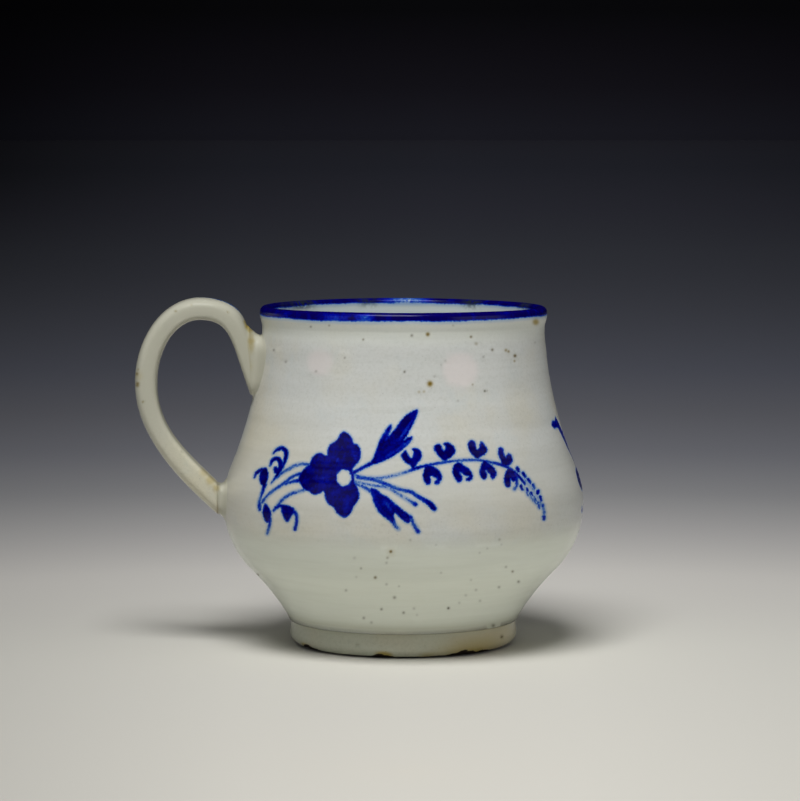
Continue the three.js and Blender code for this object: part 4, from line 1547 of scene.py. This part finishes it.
def foot_material():
    material, nodes = start_material("foot_glaze")
    color = glaze_color(nodes, FOOT_CREAM, FOOT_WARM, FOOT_COOL)
    color = tinted(nodes, color, ("beige", 0.8, FOOT_BEIGE))
    color = nodes.mix(nodes.ranged(nodes.field("pooled"), 0, 1, 0, 0.35), color, GREY_GREEN)
    color = tinted(nodes, color, ("olive", 0.75, FOOT_OLIVE))
    color = with_specks(nodes, color)
    ragged = nodes.noise(0.8, detail=4, roughness=0.65)
    clay = nodes.mix(nodes.ranged(ragged, 0.35, 0.65), BARE_CLAY, STAINED_CLAY)
    color = nodes.mix(nodes.field("bare"), color, clay)
    # Dirt and a painted contact shadow along the foot's bottom edge
    edge = nodes.math("MULTIPLY_ADD", nodes.math("SUBTRACT", ragged, 0.5), 0.9, nodes.field("grime_and_shadow"))
    color = nodes.mix(nodes.ranged(edge, 0.35, 0.75), color, GRIME_AND_SHADOW)
    unglazed = nodes.math("MAXIMUM", nodes.field("bare"), nodes.field("grime_and_shadow"))
    finish_glaze(nodes, color, nodes.ranged(unglazed, 0, 1, 0.16, 0.8))
    return material


def handle_material():
    material, nodes = start_material("handle_glaze")
    color = glaze_color(nodes, HANDLE_CREAM, HANDLE_WARM, HANDLE_COOL)
    # Shade painted onto the strap above its lower end
    color = tinted(nodes, color, ("painted_strap_shade", 0.9, PAINTED_HANDLE_SHADE))
    color = with_specks(nodes, color)
    color = cobalt(nodes, cobalt_density(nodes, "paint", "strength", 0.6), color)
    color = tinted(nodes, color, ("crease", 0.5, SEAM_DIRT))
    finish_glaze(nodes, color)
    return material


def slip_material():
    material, nodes = start_material("slip_glaze")
    color = glaze_color(nodes, HANDLE_CREAM, HANDLE_WARM, HANDLE_COOL)
    # Shade painted over the whole slip
    color = nodes.mix(0.9, color, PAINTED_HANDLE_SHADE)
    color = nodes.mix(nodes.ranged(nodes.field("rust"), 0.05, 1.0, 0, 0.75), color, OCHRE)
    color = tinted(nodes, color, ("crease", 0.35, SLIP_DIRT))
    finish_glaze(nodes, color)
    return material


# The stage

FLOOR_RADIUS = 30.0  # metres
FLOOR_SIDES = 96
FLOOR_RAMP_POWER = 0.3  # spreads the near part of the floor over more of its ramp
FLOOR_MIDDLE = 0.13  # how far in front of the cup the painted pool of light lies
# The paper's colour with a painted pool of light, by the metres from the pool's middle
FLOOR_FALLOFF = [
    (0.0, written(217, 213, 202)), (0.15, written(214, 212, 204)), (0.234, written(213, 210, 204)),
    (0.309, written(187, 185, 183)), (0.401, written(157, 157, 159)), (0.515, written(138, 139, 146)),
    (0.66, written(130, 131, 139)), (0.865, written(125, 128, 141)), (1.4, written(129, 132, 145)),
    (2.2, written(131, 135, 149)), (3.6, written(124, 126, 144)), (8.0, written(108, 112, 130)),
    (30.0, written(101, 101, 117)),
]
# The painted brightness across the fan of light from left to right, near the cup and far from it
FAN_ACROSS = 0.125  # how far to the side it reaches, for each metre ahead
FAN_NEAR = [(0.0, 0.77), (0.3, 0.93), (0.5, 0.98), (0.72, 1.0), (1.0, 0.95)]
FAN_FAR = [(0.0, 0.3), (0.3, 0.8), (0.55, 1.0), (0.8, 0.93), (1.0, 0.74)]
# The backdrop's colour from the horizon up to the picture's top
BACKDROP = [
    (0.0, written(24, 24, 30)), (0.36, written(18, 17, 22)), (0.72, written(13, 12, 16)),
    (1.0, written(8, 8, 10)),
]
BACKDROP_TOP = 0.036  # the upward share of a direction at the picture's top
AMBIENT = (0.085, 0.085, 0.089, 1)  # what the world lights the cup with

# Softboxes: name, metres to the right, ahead and up, width, height, watts
LAMPS = [
    ("overhead", (-0.08, -0.36, 0.8), 0.44, 0.37, 6.6),
    ("left_fill", (-0.65, -0.6, 0.32), 0.5, 0.5, 0.6),
    ("right_fill", (0.78, -0.4, 0.24), 0.7, 0.4, 1.0),
]
AIM_HEIGHT = 0.035  # all three point at the cup's middle


def floor_reach(metres):
    """Where a distance from the bright pool lies on the floor's ramp."""
    return (metres / FLOOR_RADIUS) ** FLOOR_RAMP_POWER


def grey_stops(stops):
    return [(at, (level, level, level, 1)) for at, level in stops]


def stage_material():
    material, nodes = start_material("paper")
    place = nodes.add("TexCoord").outputs["Object"]
    distance = nodes.add("VectorMath", {"operation": "LENGTH"})
    nodes.feed(distance.inputs[0], place)
    share = nodes.math("DIVIDE", distance.outputs["Value"], FLOOR_RADIUS)
    reach = nodes.math("POWER", share, FLOOR_RAMP_POWER)
    # A painted pool of light that fades into the distance, times a painted fan of light across it
    color = nodes.ramp(reach, *[(floor_reach(at), tone) for at, tone in FLOOR_FALLOFF])
    parts = nodes.add("SeparateXYZ", Vector=place)
    ahead = nodes.math("ADD", parts.outputs["Y"], CAMERA_DISTANCE * METRE - FLOOR_MIDDLE)
    across = nodes.math("DIVIDE", parts.outputs["X"], ahead)
    side = nodes.math("MULTIPLY_ADD", across, 0.5 / FAN_ACROSS, 0.5)
    far = nodes.ranged(reach, floor_reach(0.25), floor_reach(8))
    fan = nodes.mix(far, nodes.ramp(side, *grey_stops(FAN_NEAR)), nodes.ramp(side, *grey_stops(FAN_FAR)))
    color = nodes.mix(1.0, color, fan, "MULTIPLY")
    surface = nodes.add("BsdfPrincipled", Base_Color=color, Roughness=0.9, Specular_IOR_Level=0.1)
    nodes.add("OutputMaterial", Surface=surface.outputs[0])
    return material


def make_stage():
    mesh = bpy.data.meshes.new("floor")
    turns = 2 * math.pi * np.arange(FLOOR_SIDES) / FLOOR_SIDES
    edge = [(FLOOR_RADIUS * math.cos(a), FLOOR_RADIUS * math.sin(a), 0) for a in turns]
    mesh.from_pydata(edge, [], [tuple(range(FLOOR_SIDES))])
    mesh.materials.append(stage_material())
    floor = new_object("floor", mesh)
    floor.location = on_stage(0, -FLOOR_MIDDLE, 0)
    floor.rotation_euler = (0, 0, camera_yaw)


def make_lights():
    aim = Vector(on_stage(0, 0, AIM_HEIGHT))
    for name, spot, width, height, watts in LAMPS:
        light = bpy.data.lights.new(name, "AREA")
        light.shape = "RECTANGLE"
        light.size, light.size_y = width, height
        light.energy = watts
        lamp = new_object(name, light)
        lamp.location = on_stage(*spot)
        lamp.rotation_euler = (aim - lamp.location).to_track_quat("-Z", "Y").to_euler()


def make_world():
    world = bpy.data.worlds.new("studio")
    bpy.context.scene.world = world
    world.use_nodes = True
    nodes = Nodes(world.node_tree)
    way = nodes.add("TexCoord").outputs["Generated"]
    turned = nodes.add("Mapping", {"vector_type": "VECTOR"}, Vector=way)
    turned.inputs["Rotation"].default_value = (0, 0, -camera_yaw)
    direction = nodes.add("SeparateXYZ", Vector=turned.outputs[0])
    height = nodes.math("DIVIDE", direction.outputs["Z"], BACKDROP_TOP)
    seen = nodes.ramp(height, *BACKDROP)
    depth = nodes.math("ABSOLUTE", direction.outputs["Y"])
    across = nodes.math("DIVIDE", direction.outputs["X"], depth)
    side = nodes.math("MULTIPLY_ADD", across, 0.5 / FAN_ACROSS, 0.5)
    # The backdrop is painted darker towards the sides, like the floor's fan of light
    seen = nodes.mix(1.0, seen, nodes.ramp(side, *grey_stops(FAN_FAR)), "MULTIPLY")
    rays = nodes.add("LightPath")
    mirrored = nodes.math("MAXIMUM", rays.outputs["Is Glossy Ray"], rays.outputs["Is Transmission Ray"])
    direct = nodes.math("MAXIMUM", rays.outputs["Is Camera Ray"], mirrored)
    background = nodes.add("Background", Color=nodes.mix(direct, AMBIENT, seen), Strength=1.0)
    nodes.add("OutputWorld", Surface=background.outputs[0])


def make_camera():
    lens = bpy.data.cameras.new("camera")
    lens.lens = FOCAL_PIXELS * lens.sensor_width / max(PICTURE_WIDTH, PICTURE_HEIGHT)
    lens.clip_start, lens.clip_end = 0.05, FLOOR_RADIUS
    camera = new_object("camera", lens)
    camera.location = camera_place * METRE
    camera.rotation_euler = (math.pi / 2 - CAMERA_PITCH, 0, camera_yaw)
    bpy.context.scene.camera = camera


make_camera()
make_bowl(bowl_material())
make_foot(foot_material())
lower_end, upper_end = make_handle(handle_material())
slip = slip_material()
make_slip(
    "upper_slip", "upper_joint_slip", slip, upper_end, 1,
    far=(7.9, 47.6, 60.7), narrowing=0.22, dip=1.0,
)
make_slip(
    "lower_slip", "lower_joint_slip", slip, lower_end, -1,
    far=(6.9, 23.8, 32.9), narrowing=0.0, dip=0.4,
)
make_stage()
make_lights()
make_world()
bpy.context.scene.view_settings.view_transform = "Standard"
